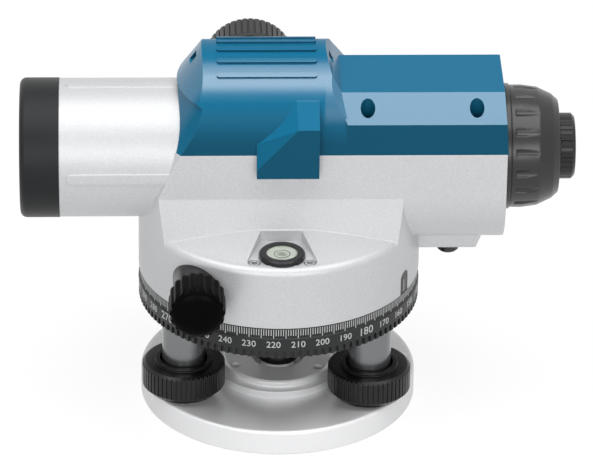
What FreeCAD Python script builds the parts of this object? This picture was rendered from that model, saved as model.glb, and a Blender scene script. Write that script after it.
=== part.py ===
import FreeCAD, Part
import math
import os
from FreeCAD import Vector

# Automatic level (optical surveying level), millimetres.
# Origin: centre of the base plate's underside, on the vertical axis.  +Z up, +X towards
# the eyepiece, -Y the side with the circular vial, +Y the side with the focusing knob.

# ---------------------------------------------------------------- driving dimensions

# fits
run_gap = 0.05            # radial gap of a turning or sliding fit
loose_gap = 0.4           # gap between curved faces that only pass each other
seat_gap = 0.1            # gap between two plain faces that don't touch
proud = 1.0               # how far a cutting tool runs past the face it cuts
edge_find = 0.01          # how close an edge lies to the height or radius it is picked by

# base plate and its tripod thread
base_margin = 12.1        # outside the circle of the foot screws
base_height = 10.0
base_edge_round = 1.2
base_rim = 1.9            # flat rim round the dish
dish_depth = 2.6
dish_floor_step = 2.0     # outside the collar's flange
thread_radius = 6.8       # minor radius of a 5/8 inch, 11 per inch tripod thread
thread_length = 9.0
seat_ball_radius = 4.5
seat_ball_height = 8.5
relief_rim = 8.1          # ring that the base plate stands on
relief_depth = 2.2
seat_boss_wall = 2.0
spring_plate_thickness = 1.4
spring_arm_width = 14.0
plate_screw_radius = 1.5
plate_screw_head_radius = 2.6
plate_screw_step = 2.8    # outside the collar
plate_screw_length = 6.0
screw_slot_width = 0.6
screw_slot_depth = 0.6

# centre collar on the base plate
collar_knob_gap = 4.1     # between the collar and the foot screws' knobs
collar_top = 13.8
collar_flange_step = 2.8
collar_flange_top = 10.7
collar_groove_depth = 0.9
collar_groove_height = 1.2
collar_bore = 10.4
collar_hole_radius = 1.9
collar_hole_inset = 3.1
collar_hole_depth = 4.0
collar_chamfer = 0.8

# foot screws
foot_inset = 8.0          # foot screws inside the head plate's edge
foot_turn = -3.0          # the three-armed base is turned a little about the vertical axis
foot_knob_radius = 16.2
foot_knob_bottom = 12.1
foot_knob_top = 22.9
foot_knob_ridge_count = 52
foot_ridge_depth = 0.55
foot_knob_chamfer = 1.1
foot_skirt_radius = 14.6
foot_skirt_bottom = 10.4
foot_lip_radius = 11.1
foot_lip_height = 0.9
foot_recess_depth = 4.5
foot_stem_radius = 4.0
stem_top_gap = 0.3
foot_neck_radius = 7.6
ball_flat = 1.0           # the ball is cut flat this far above its centre
stem_chamfer = 0.8
thread_play = 0.55        # play in the foot screw's nut, for the head's small tilt

# levelling head
head_bottom = 44.3
head_thickness = 5.0
head_side_gap = 1.3       # between the head plate and the circle's skirt
head_chamfer = 1.5
sleeve_radius = 8.4
sleeve_lap = 1.5          # how far the sleeve reaches into the knob's recess
nut_radius = 6.2
nut_roof = 2.3            # metal left over the nut
hub_radius = 7.8
hub_neck = 3.0            # step in to the part that passes the head plate
hub_lap = 1.4             # how far the hub reaches into the collar

# horizontal circle
circle_drop = 1.0         # the circle's skirt hangs below the head plate
circle_height = 12.8
circle_band_height = 4.4
circle_band_step = 0.4
circle_wall = 3.6
circle_chamfer = 0.5
circle_hub_wall = 3.0
circle_web_gap = 2.2
circle_web_thickness = 3.0
grip_slot_count = 115
grip_slot_width = 1.7
grip_slot_height = 3.4
grip_slot_depth = 1.0

# vertical axis and slow-motion drive
ridge_form = ((-0.30, 0), (0.30, 0), (0.42, 1), (0.58, 1))    # knurl: tip, tip, valley, valley
tooth_form = ((-0.20, 0), (0.20, 0), (0.35, 1), (0.65, 1))    # gear tooth
spindle_radius = 9.0
spindle_foot_radius = 16.0
spindle_foot_height = 4.0
spindle_neck = 2.0        # step in for the retainer
spindle_chamfer = 0.6
spindle_top_gap = 1.3
wheel_thickness = 7.0
wheel_tooth_count = 72
tooth_depth = 1.3
wheel_rim = 3.0           # solid metal under the teeth
wheel_hub_radius = 14.0
wheel_web_thickness = 3.0
clutch_thickness = 0.8
clutch_step = 1.0
retainer_radius = 13.0
retainer_thickness = 2.4
shaft_x = -32.6
shaft_rise = 12.3         # slow-motion shaft above the drum's lower edge
shaft_radius = 3.0
worm_radius = 5.0
worm_length = 16.0
worm_grooves = 6
worm_groove_width = 1.0
worm_groove_depth = 0.9
worm_clearance = 0.3
drive_bush_radius = 5.2
drive_boss_radius = 9.2
drive_boss_gap = 0.8      # between the boss and the knob
drive_knob_radius = 11.1
drive_knob_gap = 1.0      # between the knob and the drum's side
drive_knob_length = 12.9
drive_dome_rise = 3.0
drive_knob_ridge_count = 18
drive_ridge_depth = 0.5
drive_knob_edge = 0.8
drive_knob_chamfer = 0.9
drive_dome_form = ((0.72, 0.62), (0.38, 0.93))   # shares of the radius and of the rise
knob_cap = 3.0            # material between a knob's bore and its outer end

# housing
drum_radius = 54.9
drum_gap = 0.4            # between the circle and the drum
drum_edge_round = 3.5
drum_edge_drop = 0.4
drum_fillet = 2.9
cone_outer_rise = 4.3     # above the drum's ceiling
cone_inner_radius = 31.4
cone_inner_rise = 8.9
wall = 3.0
chamber_floor = 4.0       # thickness of the telescope chamber's floor
wheel_headroom = 5.3      # worm wheel to the drum's ceiling
side_half_width = 28.0
panel_crease_drop = 8.3   # below the optical axis
panel_foot_half_width = 32.1
panel_foot_rise = 0.7     # above the drum's ceiling
pillar_top_step = 7.2     # in from the drum
pillar_extra_wall = 0.5
panel_lap = 2.0           # how far the chamber's walls sink into the drum
seam_rise = 10.6          # cover seam above the optical axis
box_end = 86.5
box_axis_drop = 7.7
keel_start = 51.6
keel_end = 76.5
keel_half_width = 9.6
keel_slant = 2.4
keel_height = 6.0
keel_drop = 3.9           # below the eyepiece box
optic_rise = 25.1         # optical axis above the chamber's floor
tube_radius = 26.9
tube_end = -85.3
tube_bore = 24.0
tube_rib_width = 4.3
tube_rib_height = 0.5
tube_rib_start = -82.6
tube_inner_end = -35.0
floor_plate_thickness = 3.0
floor_plate_play = 0.2
floor_screw_radius = 1.5
floor_screw_inset = 10.9   # in from the drum
floor_screw_length = 7.0
floor_screw_head = 1.2
floor_screw_sink = 0.2
axis_bush_radius = 13.5
axis_bush_drop = 1.0
index_angle = -28.7
index_width = 6.2
index_rise = 9.4
index_depth = 2.2
index_skin = 0.3          # the insert stands this far inside the drum's surface

# circular vial
vial_y = -43.4
vial_bezel_radius = 8.8
vial_bezel_rise = 2.8
vial_glass_radius = 6.1
vial_glass_rise = 2.3
vial_floor_rise = 3.4     # cup's seat above the drum's ceiling
vial_well_depth = 0.7     # cup's seat below the pocket's floor
vial_seat = 0.3
vial_screw_x = 10.6
vial_screw_y = -48.0
vial_screw_radius = 2.1
vial_screw_recess = 2.6
vial_screw_depth = 1.6
vial_screw_socket = 1.2
vial_dome = 39.0
pocket_back_y = -31.0
pocket_front_y = -50.8
pocket_back_half = 7.9
pocket_front_half = 14.4
pocket_corner = 2.8
vial_bezel_chamfer = 0.5

# top cover
barrel_radius = 28.0
barrel_rise = 15.4        # barrel's axis above the optical axis
cover_wall = 2.8
nose_tip_radius = 40.0
nose_tip_rise = 14.6      # above the barrel's axis
nose_top_radius = 30.4
nose_top_gap = 0.2
nose_foot_step = 1.0
tail_face = ((28.0, 13.1), (24.1, 20.5), (19.6, 27.5), (17.2, 33.0))    # (x, rise over the seam)
tail_round = ((37.6, 13.1), (31.1, 20.4), (25.2, 27.5), (20.5, 33.0))   # (radius, rise over the seam)
tail_lap = 3.0            # how far the block runs into the barrel's end
cover_end = 86.9
block_side_rise = 13.0    # above the seam
block_rise = 22.3
block_far_edge = 13.4
block_bevel = 45.0        # angle of its two sloping faces
block_end_slope = 0.07    # the end face leans back above the seam
top_rib_count = 6
top_rib_pitch = 13.6      # degrees round the barrel
top_rib_start = -24.8
top_rib_end = 13.6
top_rib_width = 2.0
top_rib_height = 0.9
sight_drop = 4.8          # below the top of the barrel
sight_tall = 3.6
sight_wide = 5.0
sight_frame = 1.6
gusset_left = -9.6
gusset_right = 14.3
gusset_drop = 8.0         # how far the gusset laps the seam
gusset_proud = 4.0
gusset_front_rise = 12.8
gusset_back_y = -21.9
gusset_back_rise = 21.9
gusset_peak_front_x = 6.2
gusset_peak_back_x = 5.5
gusset_toe_drop = 4.5
cover_hole_radius = 2.8
cover_hole_x = (32.8, 74.5)
cover_hole_y = 23.2
cover_seat_rise = 4.7
cover_screw_radius = 1.5
cover_screw_length = 9.0
screw_boss_radius = 4.6
screw_boss_depth = 14.0
screw_boss_blind = 2.0
cover_screw_head = 2.4
cover_slot_width = 0.8
cover_slot_depth = 1.0

# objective
hood_end = -100.5
hood_radius = 27.1
hood_bore = 22.4
hood_round = 2.6
hood_spigot = 4.0
cell_front = -81.0
cell_length = 20.0
aperture_radius = 18.0
lens_thickness = 7.5
lens_seat = 6.0
lens_lap = 1.0            # glass held behind the aperture
lens_bulge = 1.6
ring_lap = 0.5
ring_thickness = 2.4

# focusing
focus_x = -11.2
rack_proud = 0.1          # rack above the carriage
focus_knob_radius = 17.6
focus_knob_start = 30.6
focus_knob_end = 44.8
focus_knob_chamfer = 1.2
focus_dish_depth = 1.0
focus_dish_rim = 4.0
focus_dish_slant = 1.0
focus_knob_ridge_count = 45
focus_ridge_depth = 0.6
focus_shaft_radius = 2.0
focus_bush_radius = 5.0
focus_bush_proud = 1.2
focus_bush_lap = 1.0
focus_lug_radius = 9.0
focus_pitch_radius = 3.0
pinion_width = 7.0
pinion_teeth = 12
pinion_tip_gap = 0.1
rack_root = 1.5           # rack sunk in the carriage
rack_pitch = 1.6
rack_groove_width = 0.7
rack_groove_depth = 0.7
carriage_radius = 13.0
carriage_bore = 11.0
carriage_length = 25.0
carriage_shift = 3.0       # the carriage rests a little left of the pinion
focus_lens_seat = 1.5
focus_lens_thickness = 4.5
focus_lens_bulge = 0.9
carriage_lip = 1.0
guide_wall = 1.5
guide_start = -45.0
guide_end = 2.0
guide_flange = 4.0
guide_slot_gap = 1.0

# compensator
comp_x = 26.0
comp_pivot_rise = 10.8    # above the optical axis
comp_length = 32.0
comp_half_width = 17.0
comp_plate = 2.5
comp_bar_half = 8.0
comp_bar_gap = 0.3
pendulum_length = 20.0
pendulum_half_width = 12.0
pendulum_foot = 10.9      # above the chamber's floor
pendulum_drop = 4.0       # below its pivot
pendulum_plate = 2.0
tape_radius = 0.4
tape_x = 6.0
tape_inset = 2.0
prism_margin = 1.0
prism_slant = 4.0
magnet_radius = 6.0
magnet_height = 5.0
magnet_floor = 1.0
plunger_gap = 2.2
plunger_side_gap = 0.8

# reticle and eyepiece
reticle_x = 66.3
reticle_cell_radius = 14.5
reticle_cell_half = 3.8
reticle_bore = 8.5
reticle_glass = 1.6
bulkhead = 3.0
adjust_screw_radius = 1.5
adjust_cap_radius = 4.2
adjust_cap_chamfer = 0.8
adjust_cap_roof = 3.0
adjust_cap_height = 5.8
flange_thickness = 2.0
flange_radius = 24.4
guard_radius = 23.8
guard_shoulder_radius = 20.4
guard_end = 107.6
guard_wall = 2.2
guard_straight = 5.0
guard_curve = 11.0
guard_curve_step = 0.8
guard_slope = 2.5
guard_edge_step = 2.2
guard_flute_count = 18
flute_radius = 1.9
flute_start = 1.9
flute_length = 9.6
flute_depth = 0.9
barrel_tube_radius = 10.4
barrel_tube_wall = 2.0
barrel_tube_start = 74.0
eye_ring_radius = 12.8
eye_ring_start = 107.0
eye_ring_end = 114.1
eye_ring_gap = 1.0
eye_ring_chamfer = 1.2
eye_skirt_length = 5.0
eye_skirt_wall = 1.2
eye_cup_share = 0.4
eye_ring_ridge_count = 36
eye_ridge_depth = 0.4
eye_hole = 6.0
eye_cell_start = 79.0
eye_cell_length = 23.0
eye_cell_wall = 1.6
eye_lip = 0.8
eye_lens_bulge = 0.8
eye_lens_thickness = 3.5

# ---------------------------------------------------------------- values that follow

circle_radius = drum_radius
head_radius = circle_radius - circle_wall - head_side_gap
foot_circle = head_radius - foot_inset
collar_radius = foot_circle - foot_knob_radius - collar_knob_gap
collar_flange_radius = collar_radius + collar_flange_step
collar_hole_circle = collar_radius - collar_hole_inset
plate_screw_circle = collar_radius + plate_screw_step
base_radius = foot_circle + base_margin
dish_radius = base_radius - base_rim
dish_floor_radius = collar_flange_radius + dish_floor_step
relief_radius = base_radius - relief_rim
pillar_top_radius = drum_radius - pillar_top_step
floor_screw_circle = drum_radius - floor_screw_inset
drive_knob_start = math.sqrt(drum_radius ** 2 - (abs(shaft_x) - drive_knob_radius) ** 2) + drive_knob_gap
drive_knob_end = drive_knob_start + drive_knob_length
drive_knob_dome = drive_knob_end + drive_dome_rise
drive_boss_end = drive_knob_start - drive_boss_gap
foot_recess_floor = foot_knob_top - foot_recess_depth
sleeve_bottom = foot_knob_top - sleeve_lap
hub_bottom = collar_top - hub_lap
head_top = head_bottom + head_thickness
foot_stem_top = head_bottom - stem_top_gap
nut_top = head_top - nut_roof
circle_bottom = head_bottom - circle_drop
circle_top = circle_bottom + circle_height
circle_web_bottom = head_top + circle_web_gap
drum_bottom = circle_top + drum_gap
index_height = drum_bottom + index_rise
shaft_height = drum_bottom + shaft_rise
wheel_bottom = shaft_height - wheel_thickness / 2
wheel_top = wheel_bottom + wheel_thickness
wheel_radius = abs(shaft_x) - worm_radius - worm_clearance
axis_bush_top = wheel_bottom - clutch_thickness - 2 * seat_gap
drum_ceiling = wheel_top + wheel_headroom
spindle_top = drum_ceiling - spindle_top_gap
floor_top = drum_ceiling + chamber_floor
cone_outer_height = drum_ceiling + cone_outer_rise
cone_inner_height = drum_ceiling + cone_inner_rise
panel_foot_height = drum_ceiling + panel_foot_rise
vial_floor = drum_ceiling + vial_floor_rise
pocket_floor = vial_floor + vial_well_depth
vial_bezel_top = vial_floor + vial_bezel_rise
vial_glass_top = vial_floor + vial_glass_rise
optic_height = floor_top + optic_rise
seam_height = optic_height + seam_rise
panel_crease_height = optic_height - panel_crease_drop
box_axis_height = optic_height - box_axis_drop
keel_bottom = box_axis_height - side_half_width - keel_drop
adjust_cap_bottom = keel_bottom - adjust_cap_height
barrel_height = optic_height + barrel_rise
nose_tip_height = barrel_height + nose_tip_rise
nose_top_height = barrel_height + barrel_radius + nose_top_gap
sight_height = nose_top_height - sight_drop
block_side_top = seam_height + block_side_rise
block_top = seam_height + block_rise
cover_screw_seat = seam_height + cover_seat_rise
gusset_bottom = seam_height - gusset_drop
gusset_low_front = seam_height - gusset_toe_drop
gusset_front_top = seam_height + gusset_front_rise
gusset_back_top = seam_height + gusset_back_rise
focus_height = optic_height + carriage_radius + rack_proud + worm_clearance + focus_pitch_radius
carriage_start = focus_x - carriage_length / 2 - carriage_shift
comp_pivot_height = optic_height + comp_pivot_rise
pendulum_top = comp_pivot_height - pendulum_drop
pendulum_bottom = floor_top + pendulum_foot
lens_radius = aperture_radius + lens_lap
eye_bore = barrel_tube_radius - barrel_tube_wall - run_gap - eye_cell_wall
gusset_front = -side_half_width - gusset_proud
flange_end = box_end + flange_thickness
up = Vector(0, 0, 1)
right = Vector(1, 0, 0)
far = Vector(0, 1, 0)

# ---------------------------------------------------------------- shared shapes


def rod(radius, bottom, top, x=0.0, y=0.0):
    """Upright cylinder between two heights."""
    return Part.makeCylinder(radius, top - bottom, Vector(x, y, bottom), up)


def rod_x(radius, start, end, y=0.0, z=optic_height):
    """Cylinder along X, by default on the telescope's axis."""
    return Part.makeCylinder(radius, end - start, Vector(start, y, z), right)


def rod_y(radius, start, end, x, z):
    """Cylinder along Y."""
    return Part.makeCylinder(radius, end - start, Vector(x, start, z), far)


def box(x0, x1, y0, y1, z0, z1):
    """Block between two corners."""
    return Part.makeBox(x1 - x0, y1 - y0, z1 - z0, Vector(x0, y0, z0))


def turned(points):
    """Solid of revolution about the vertical axis from (radius, height) points."""
    wire = Part.makePolygon([Vector(r, 0, z) for r, z in points + points[:1]])
    return Part.Face(wire).revolve(Vector(0, 0, 0), up, 360)


def turned_x(points):
    """Solid of revolution about the telescope's axis from (x, radius) points."""
    wire = Part.makePolygon([Vector(x, 0, optic_height + r) for x, r in points + points[:1]])
    return Part.Face(wire).revolve(Vector(0, 0, optic_height), right, 360)


def prism_x(points, start, end):
    """Straight prism along X from (y, z) points."""
    wire = Part.makePolygon([Vector(start, y, z) for y, z in points + points[:1]])
    return Part.Face(wire).extrude(Vector(end - start, 0, 0))


def prism_y(points, start, end):
    """Straight prism along Y from (x, z) points."""
    wire = Part.makePolygon([Vector(x, start, z) for x, z in points + points[:1]])
    return Part.Face(wire).extrude(Vector(0, end - start, 0))


def prism_z(points, bottom, top):
    """Upright prism from (x, y) points."""
    wire = Part.makePolygon([Vector(x, y, bottom) for x, y in points + points[:1]])
    return Part.Face(wire).extrude(Vector(0, 0, top - bottom))


def toothed_outline(tip, root, count, form):
    """Outline of a toothed disc; form gives (share of the pitch, 0 for the tip or 1 for the root)."""
    step = 2 * math.pi / count
    outline = []
    for k in range(count):
        for share, low in form:
            radius = root if low else tip
            outline.append((radius * math.cos((k + share) * step), radius * math.sin((k + share) * step)))
    return outline


def ridged(radius, ridges, depth, bottom, top):
    """Upright knurled disc: flat-topped ridges with narrow valleys between them."""
    return prism_z(toothed_outline(radius, radius - depth, ridges, ridge_form), bottom, top)


def chamfered(radius, bottom, top, chamfer):
    """Upright disc with both edges chamfered, to trim a knurled disc with."""
    return turned([(0, bottom), (radius - chamfer, bottom), (radius, bottom + chamfer),
                   (radius, top - chamfer), (radius - chamfer, top), (0, top)])


def upright_to_y(shape, x, z, sign=1):
    """Turns a shape made along +Z to lie along +Y or -Y through (x, z)."""
    copy = shape.copy()
    copy.rotate(Vector(0, 0, 0), right, -90 * sign)
    copy.translate(Vector(x, 0, z))
    return copy


def upright_to_x(shape):
    """Turns a shape made along +Z to lie along +X on the telescope's axis."""
    copy = shape.copy()
    copy.rotate(Vector(0, 0, 0), far, 90)
    copy.translate(Vector(0, 0, optic_height))
    return copy


def round_places(radius, angles):
    """Points on a circle about the vertical axis."""
    return [(radius * math.cos(math.radians(a)), radius * math.sin(math.radians(a))) for a in angles]


foot_angles = {"rear": 90 + foot_turn, "left": 210 + foot_turn, "right": 330 + foot_turn}
foot_places = dict(zip(foot_angles, round_places(foot_circle, foot_angles.values())))
plate_screw_places = round_places(plate_screw_circle, [a + 60 for a in foot_angles.values()])
floor_screw_places = round_places(floor_screw_circle, (0, 90, 270))
cover_screw_places = [(x, y) for x in cover_hole_x for y in (-cover_hole_y, cover_hole_y)]


def export(shape, name):
    """Writes one piece, or a group of like fasteners, to its own file."""
    shape.exportStep("parts/" + name + ".step")


# ---------------------------------------------------------------- base


def base_plate():
    body = turned([(0, 0), (base_radius, 0), (base_radius, base_height), (dish_radius, base_height),
                   (dish_floor_radius, base_height - dish_depth), (0, base_height - dish_depth)])
    rim = [e for e in body.Edges if abs(e.BoundBox.ZMin - base_height) < edge_find
           and e.BoundBox.XMax > base_radius - edge_find]
    body = body.makeFillet(base_edge_round, rim)
    body = body.cut(turned([(0, 0), (relief_radius, 0), (relief_radius, relief_depth), (0, relief_depth)]))
    body = body.fuse(rod(plate_screw_circle + 3 * plate_screw_radius, 0, relief_depth))
    seats = [rod(seat_ball_radius + seat_boss_wall, 0, relief_depth + proud, x, y)
             for x, y in foot_places.values()]
    body = body.fuse(Part.makeCompound(seats))
    body = body.cut(rod(collar_radius - wall, -proud, base_height))
    for x, y in foot_places.values():
        body = body.cut(Part.makeSphere(seat_ball_radius + run_gap, Vector(x, y, seat_ball_height)))
    for x, y in plate_screw_places:
        body = body.cut(rod(plate_screw_radius, -proud, plate_screw_length + seat_gap, x, y))
    body = body.cut(spring_recess())
    return body


def spring_recess():
    """Shallow place in the base plate's underside for the three-armed spring plate."""
    return spring_outline(seat_gap, -proud, spring_plate_thickness)


def spring_outline(extra, bottom, top):
    shape = rod(plate_screw_circle + 2 * plate_screw_radius + extra, bottom, top)
    for x, y in foot_places.values():
        length = math.hypot(x, y)
        half = spring_arm_width / 2 + extra
        side = Vector(-y / length * half, x / length * half, 0)
        tip = Vector(x, y, 0)
        corners = [side, side + tip, tip - side, Vector(0, 0, 0) - side]
        shape = shape.fuse(prism_z([(c.x, c.y) for c in corners], bottom, top))
        shape = shape.fuse(rod(half, bottom, top, x, y))
    return shape.removeSplitter()


def spring_plate():
    body = spring_outline(0, 0, spring_plate_thickness)
    body = body.cut(rod(collar_radius - wall + seat_gap, -proud, base_height))
    for x, y in plate_screw_places:
        body = body.cut(rod(plate_screw_head_radius + seat_gap, -proud,
                            spring_plate_thickness + proud, x, y))
    return body


def countersunk_screw(x, y):
    head = Part.makeCone(plate_screw_head_radius, plate_screw_radius, spring_plate_thickness,
                         Vector(x, y, 0))
    body = head.fuse(rod(plate_screw_radius, 0, plate_screw_length, x, y))
    reach = plate_screw_head_radius
    half = screw_slot_width / 2
    return body.cut(box(x - reach, x + reach, y - half, y + half, -proud, screw_slot_depth))


def centre_collar():
    floor = base_height - dish_depth
    inner = collar_radius - wall - seat_gap
    groove = collar_radius - collar_groove_depth
    groove_top = collar_flange_top + collar_groove_height
    body = turned([(thread_radius, 0), (inner, 0), (inner, floor), (collar_flange_radius, floor),
                   (collar_flange_radius, collar_flange_top), (groove, collar_flange_top),
                   (groove, groove_top), (collar_radius, groove_top),
                   (collar_radius, collar_top - collar_chamfer),
                   (collar_radius - collar_chamfer, collar_top),
                   (collar_bore, collar_top), (collar_bore, thread_length), (thread_radius, thread_length)])
    for x, y in round_places(collar_hole_circle, foot_angles.values()):
        body = body.cut(rod(collar_hole_radius, collar_top - collar_hole_depth, collar_top + proud, x, y))
    return body


# ---------------------------------------------------------------- foot screws


def foot_knob(x, y):
    body = ridged(foot_knob_radius, foot_knob_ridge_count, foot_ridge_depth, foot_knob_bottom, foot_knob_top)
    body = body.common(chamfered(foot_knob_radius, foot_knob_bottom, foot_knob_top, foot_knob_chamfer))
    skirt = Part.makeCone(foot_skirt_radius - foot_knob_chamfer, foot_skirt_radius,
                          foot_knob_bottom - foot_skirt_bottom, Vector(0, 0, foot_skirt_bottom), up)
    body = body.fuse(skirt)
    body = body.fuse(rod(foot_lip_radius, foot_knob_top - proud, foot_knob_top + foot_lip_height))
    recess = sleeve_radius + thread_play + loose_gap
    body = body.cut(rod(recess, foot_recess_floor, foot_knob_top + 2 * proud))
    body = body.cut(rod(foot_stem_radius, foot_skirt_bottom - proud, foot_knob_top))
    body.translate(Vector(x, y, 0))
    return body


def foot_spindle(x, y):
    """Threaded stem with its ball foot, which sits in the base plate."""
    body = Part.makeSphere(seat_ball_radius, Vector(0, 0, seat_ball_height))
    flat = seat_ball_height + ball_flat
    body = body.cut(rod(foot_neck_radius, flat, flat + seat_ball_radius))
    shoulder = foot_stem_top - stem_chamfer
    body = body.fuse(rod(foot_stem_radius, seat_ball_height, shoulder))
    body = body.fuse(Part.makeCone(foot_stem_radius, foot_stem_radius - stem_chamfer, stem_chamfer,
                                   Vector(0, 0, shoulder), up))
    body.translate(Vector(x, y, 0))
    return body


# ---------------------------------------------------------------- levelling head


def head_plate():
    hole = hub_radius - hub_neck
    body = turned([(hole, head_bottom), (head_radius - head_chamfer, head_bottom),
                   (head_radius, head_bottom + head_chamfer), (head_radius, head_top), (hole, head_top)])
    for x, y in foot_places.values():
        body = body.cut(rod(nut_radius, head_bottom - proud, nut_top, x, y))
    return body


def nut_sleeve(x, y):
    body = rod(sleeve_radius, sleeve_bottom, head_bottom)
    body = body.cut(rod(nut_radius, sleeve_bottom - proud, head_bottom + proud))
    body.translate(Vector(x, y, 0))
    return body


def foot_nut(x, y):
    body = rod(nut_radius, sleeve_bottom + proud, nut_top)
    body = body.cut(rod(foot_stem_radius + thread_play, sleeve_bottom, nut_top + proud))
    body.translate(Vector(x, y, 0))
    return body


def centre_hub():
    neck = hub_radius - hub_neck
    return turned([(0, hub_bottom), (hub_radius - proud, hub_bottom), (hub_radius, hub_bottom + proud),
                   (hub_radius, head_bottom), (neck, head_bottom), (neck, head_top), (0, head_top)])


def spindle():
    shoulder = head_top + spindle_foot_height
    seat = wheel_top + clutch_thickness
    neck = spindle_radius - spindle_neck
    return turned([(0, head_top), (spindle_foot_radius, head_top), (spindle_foot_radius, shoulder),
                   (spindle_radius, shoulder), (spindle_radius, seat), (neck, seat),
                   (neck, spindle_top - spindle_chamfer), (neck - spindle_chamfer, spindle_top),
                   (0, spindle_top)])


def clutch_washer():
    """Dished friction washer that presses the worm wheel down on its shoulder."""
    top = wheel_top + clutch_thickness
    ring = rod(wheel_hub_radius - clutch_step, wheel_top, top)
    return ring.cut(rod(spindle_radius, wheel_top - proud, top + proud))


def spindle_retainer():
    bottom = wheel_top + clutch_thickness
    top = bottom + retainer_thickness
    bore = rod(spindle_radius - spindle_neck, bottom - proud, top + proud)
    return rod(retainer_radius, bottom, top).cut(bore)


# ---------------------------------------------------------------- horizontal circle


def horizontal_circle():
    step_height = circle_top - circle_band_height
    inner = circle_radius - circle_wall
    plain = circle_radius - circle_band_step
    bore = spindle_foot_radius + run_gap
    hub = bore + circle_hub_wall
    foot = head_top + seat_gap
    web_top = circle_web_bottom + circle_web_thickness
    body = turned([(inner, circle_bottom), (circle_radius - circle_chamfer, circle_bottom),
                   (circle_radius, circle_bottom + circle_chamfer), (circle_radius, step_height),
                   (plain, step_height + circle_band_step), (plain, circle_top), (inner, circle_top),
                   (inner, web_top), (bore, web_top), (bore, foot), (hub, foot),
                   (hub, circle_web_bottom), (inner, circle_web_bottom)])
    slots = []
    half = grip_slot_width / 2
    start = circle_radius - grip_slot_depth
    end = circle_radius + proud
    crown = circle_bottom + grip_slot_height - half
    for k in range(grip_slot_count):
        slot = box(start, end, -half, half, circle_bottom - proud, crown)
        slot = slot.fuse(Part.makeCylinder(half, end - start, Vector(start, 0, crown), right))
        slot.rotate(Vector(0, 0, 0), up, (k + 0.5) * 360 / grip_slot_count)
        slots.append(slot)
    return body.cut(Part.makeCompound(slots))


# ---------------------------------------------------------------- slow-motion drive


def worm_wheel():
    """Toothed wheel on the spindle; the worm grips it and the washer lets it slip."""
    root = wheel_radius - tooth_depth
    outline = toothed_outline(wheel_radius, root, wheel_tooth_count, tooth_form)
    body = prism_z(outline, wheel_bottom, wheel_top)
    web = (wheel_thickness - wheel_web_thickness) / 2
    for low, high in ((wheel_bottom - proud, wheel_bottom + web), (wheel_top - web, wheel_top + proud)):
        pocket = rod(root - wheel_rim, low, high).cut(rod(wheel_hub_radius, low - proud, high + proud))
        body = body.cut(pocket)
    return body.cut(rod(spindle_radius + run_gap, wheel_bottom - proud, wheel_top + proud))


def drive_shaft():
    end = drive_knob_end - knob_cap
    body = rod_y(shaft_radius, -end, end, shaft_x, shaft_height)
    body = body.fuse(rod_y(worm_radius, -worm_length / 2, worm_length / 2, shaft_x, shaft_height))
    root = worm_radius - worm_groove_depth
    half = worm_groove_width / 2
    grooves = []
    for k in range(worm_grooves):
        y = (k - (worm_grooves - 1) / 2) * worm_length / (worm_grooves + 1)
        groove = rod_y(worm_radius + proud, y - half, y + half, shaft_x, shaft_height)
        grooves.append(groove.cut(rod_y(root, y - half - proud, y + half + proud, shaft_x, shaft_height)))
    return body.cut(Part.makeCompound(grooves))


def drive_knob(sign):
    """Domed fluted knob on one end of the slow-motion shaft."""
    length = drive_knob_end - drive_knob_start
    body = ridged(drive_knob_radius, drive_knob_ridge_count, drive_ridge_depth, 0, length)
    rise = drive_knob_dome - drive_knob_end
    shoulder = drive_knob_radius - drive_ridge_depth
    outline = [(0, 0), (shoulder, 0), (shoulder, length - drive_knob_edge),
               (shoulder - drive_knob_edge, length)]
    outline += [(shoulder * across, length + rise * along) for across, along in drive_dome_form]
    cap = turned(outline + [(0, length + rise)])
    body = body.common(chamfered(drive_knob_radius, 0, length, drive_knob_chamfer)).fuse(cap)
    body = body.cut(rod(shaft_radius, -proud, length - knob_cap))
    body.translate(Vector(0, 0, drive_knob_start))
    return upright_to_y(body, shaft_x, shaft_height, sign)


def drive_bush(sign):
    """Black collar saddled on the drum, with the sleeve that carries the shaft."""
    inner = math.sqrt(drum_radius ** 2 - shaft_x ** 2) - 3 * wall
    collar = upright_to_y(rod(drive_boss_radius, inner, drive_boss_end), shaft_x, shaft_height, sign)
    body = collar.cut(rod(drum_radius, drum_bottom, cone_inner_height))
    sleeve = rod(drive_bush_radius, inner, drive_boss_end)
    body = body.fuse(upright_to_y(sleeve, shaft_x, shaft_height, sign))
    bore = rod(shaft_radius + run_gap, inner - proud, drive_boss_end + proud)
    return body.cut(upright_to_y(bore, shaft_x, shaft_height, sign))


# ---------------------------------------------------------------- housing


def pillar_profile(inset, bottom, top):
    """Round body that the housing and cover corners follow: straight, then leaning in."""
    lean = (drum_radius - pillar_top_radius) / (seam_height - panel_crease_height)
    top_radius = drum_radius - lean * (top - panel_crease_height)
    return turned([(0, bottom), (drum_radius - inset, bottom), (drum_radius - inset, panel_crease_height),
                   (top_radius - inset, top), (0, top)])


def body_section(inset, bottom):
    """Cross-section of the telescope chamber: upright walls, then panels that lean out."""
    half = side_half_width - inset
    lean = (panel_foot_half_width - side_half_width) / (panel_crease_height - panel_foot_height)
    foot = half + lean * (panel_crease_height - bottom)
    return [(-foot, bottom), (foot, bottom), (half, panel_crease_height), (half, seam_height),
            (-half, seam_height), (-half, panel_crease_height)]


def drum():
    edge = drum_radius - drum_edge_round
    shoulder = cone_outer_height - drum_edge_drop
    body = turned([(0, drum_bottom), (drum_radius, drum_bottom), (drum_radius, shoulder),
                   (edge, cone_outer_height), (cone_inner_radius, cone_inner_height),
                   (0, cone_inner_height)])
    rim = [e for e in body.Edges if abs(e.BoundBox.ZMin - shoulder) < edge_find
           and e.BoundBox.XMax > drum_radius - edge_find]
    return body.makeFillet(drum_fillet, rim)


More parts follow.
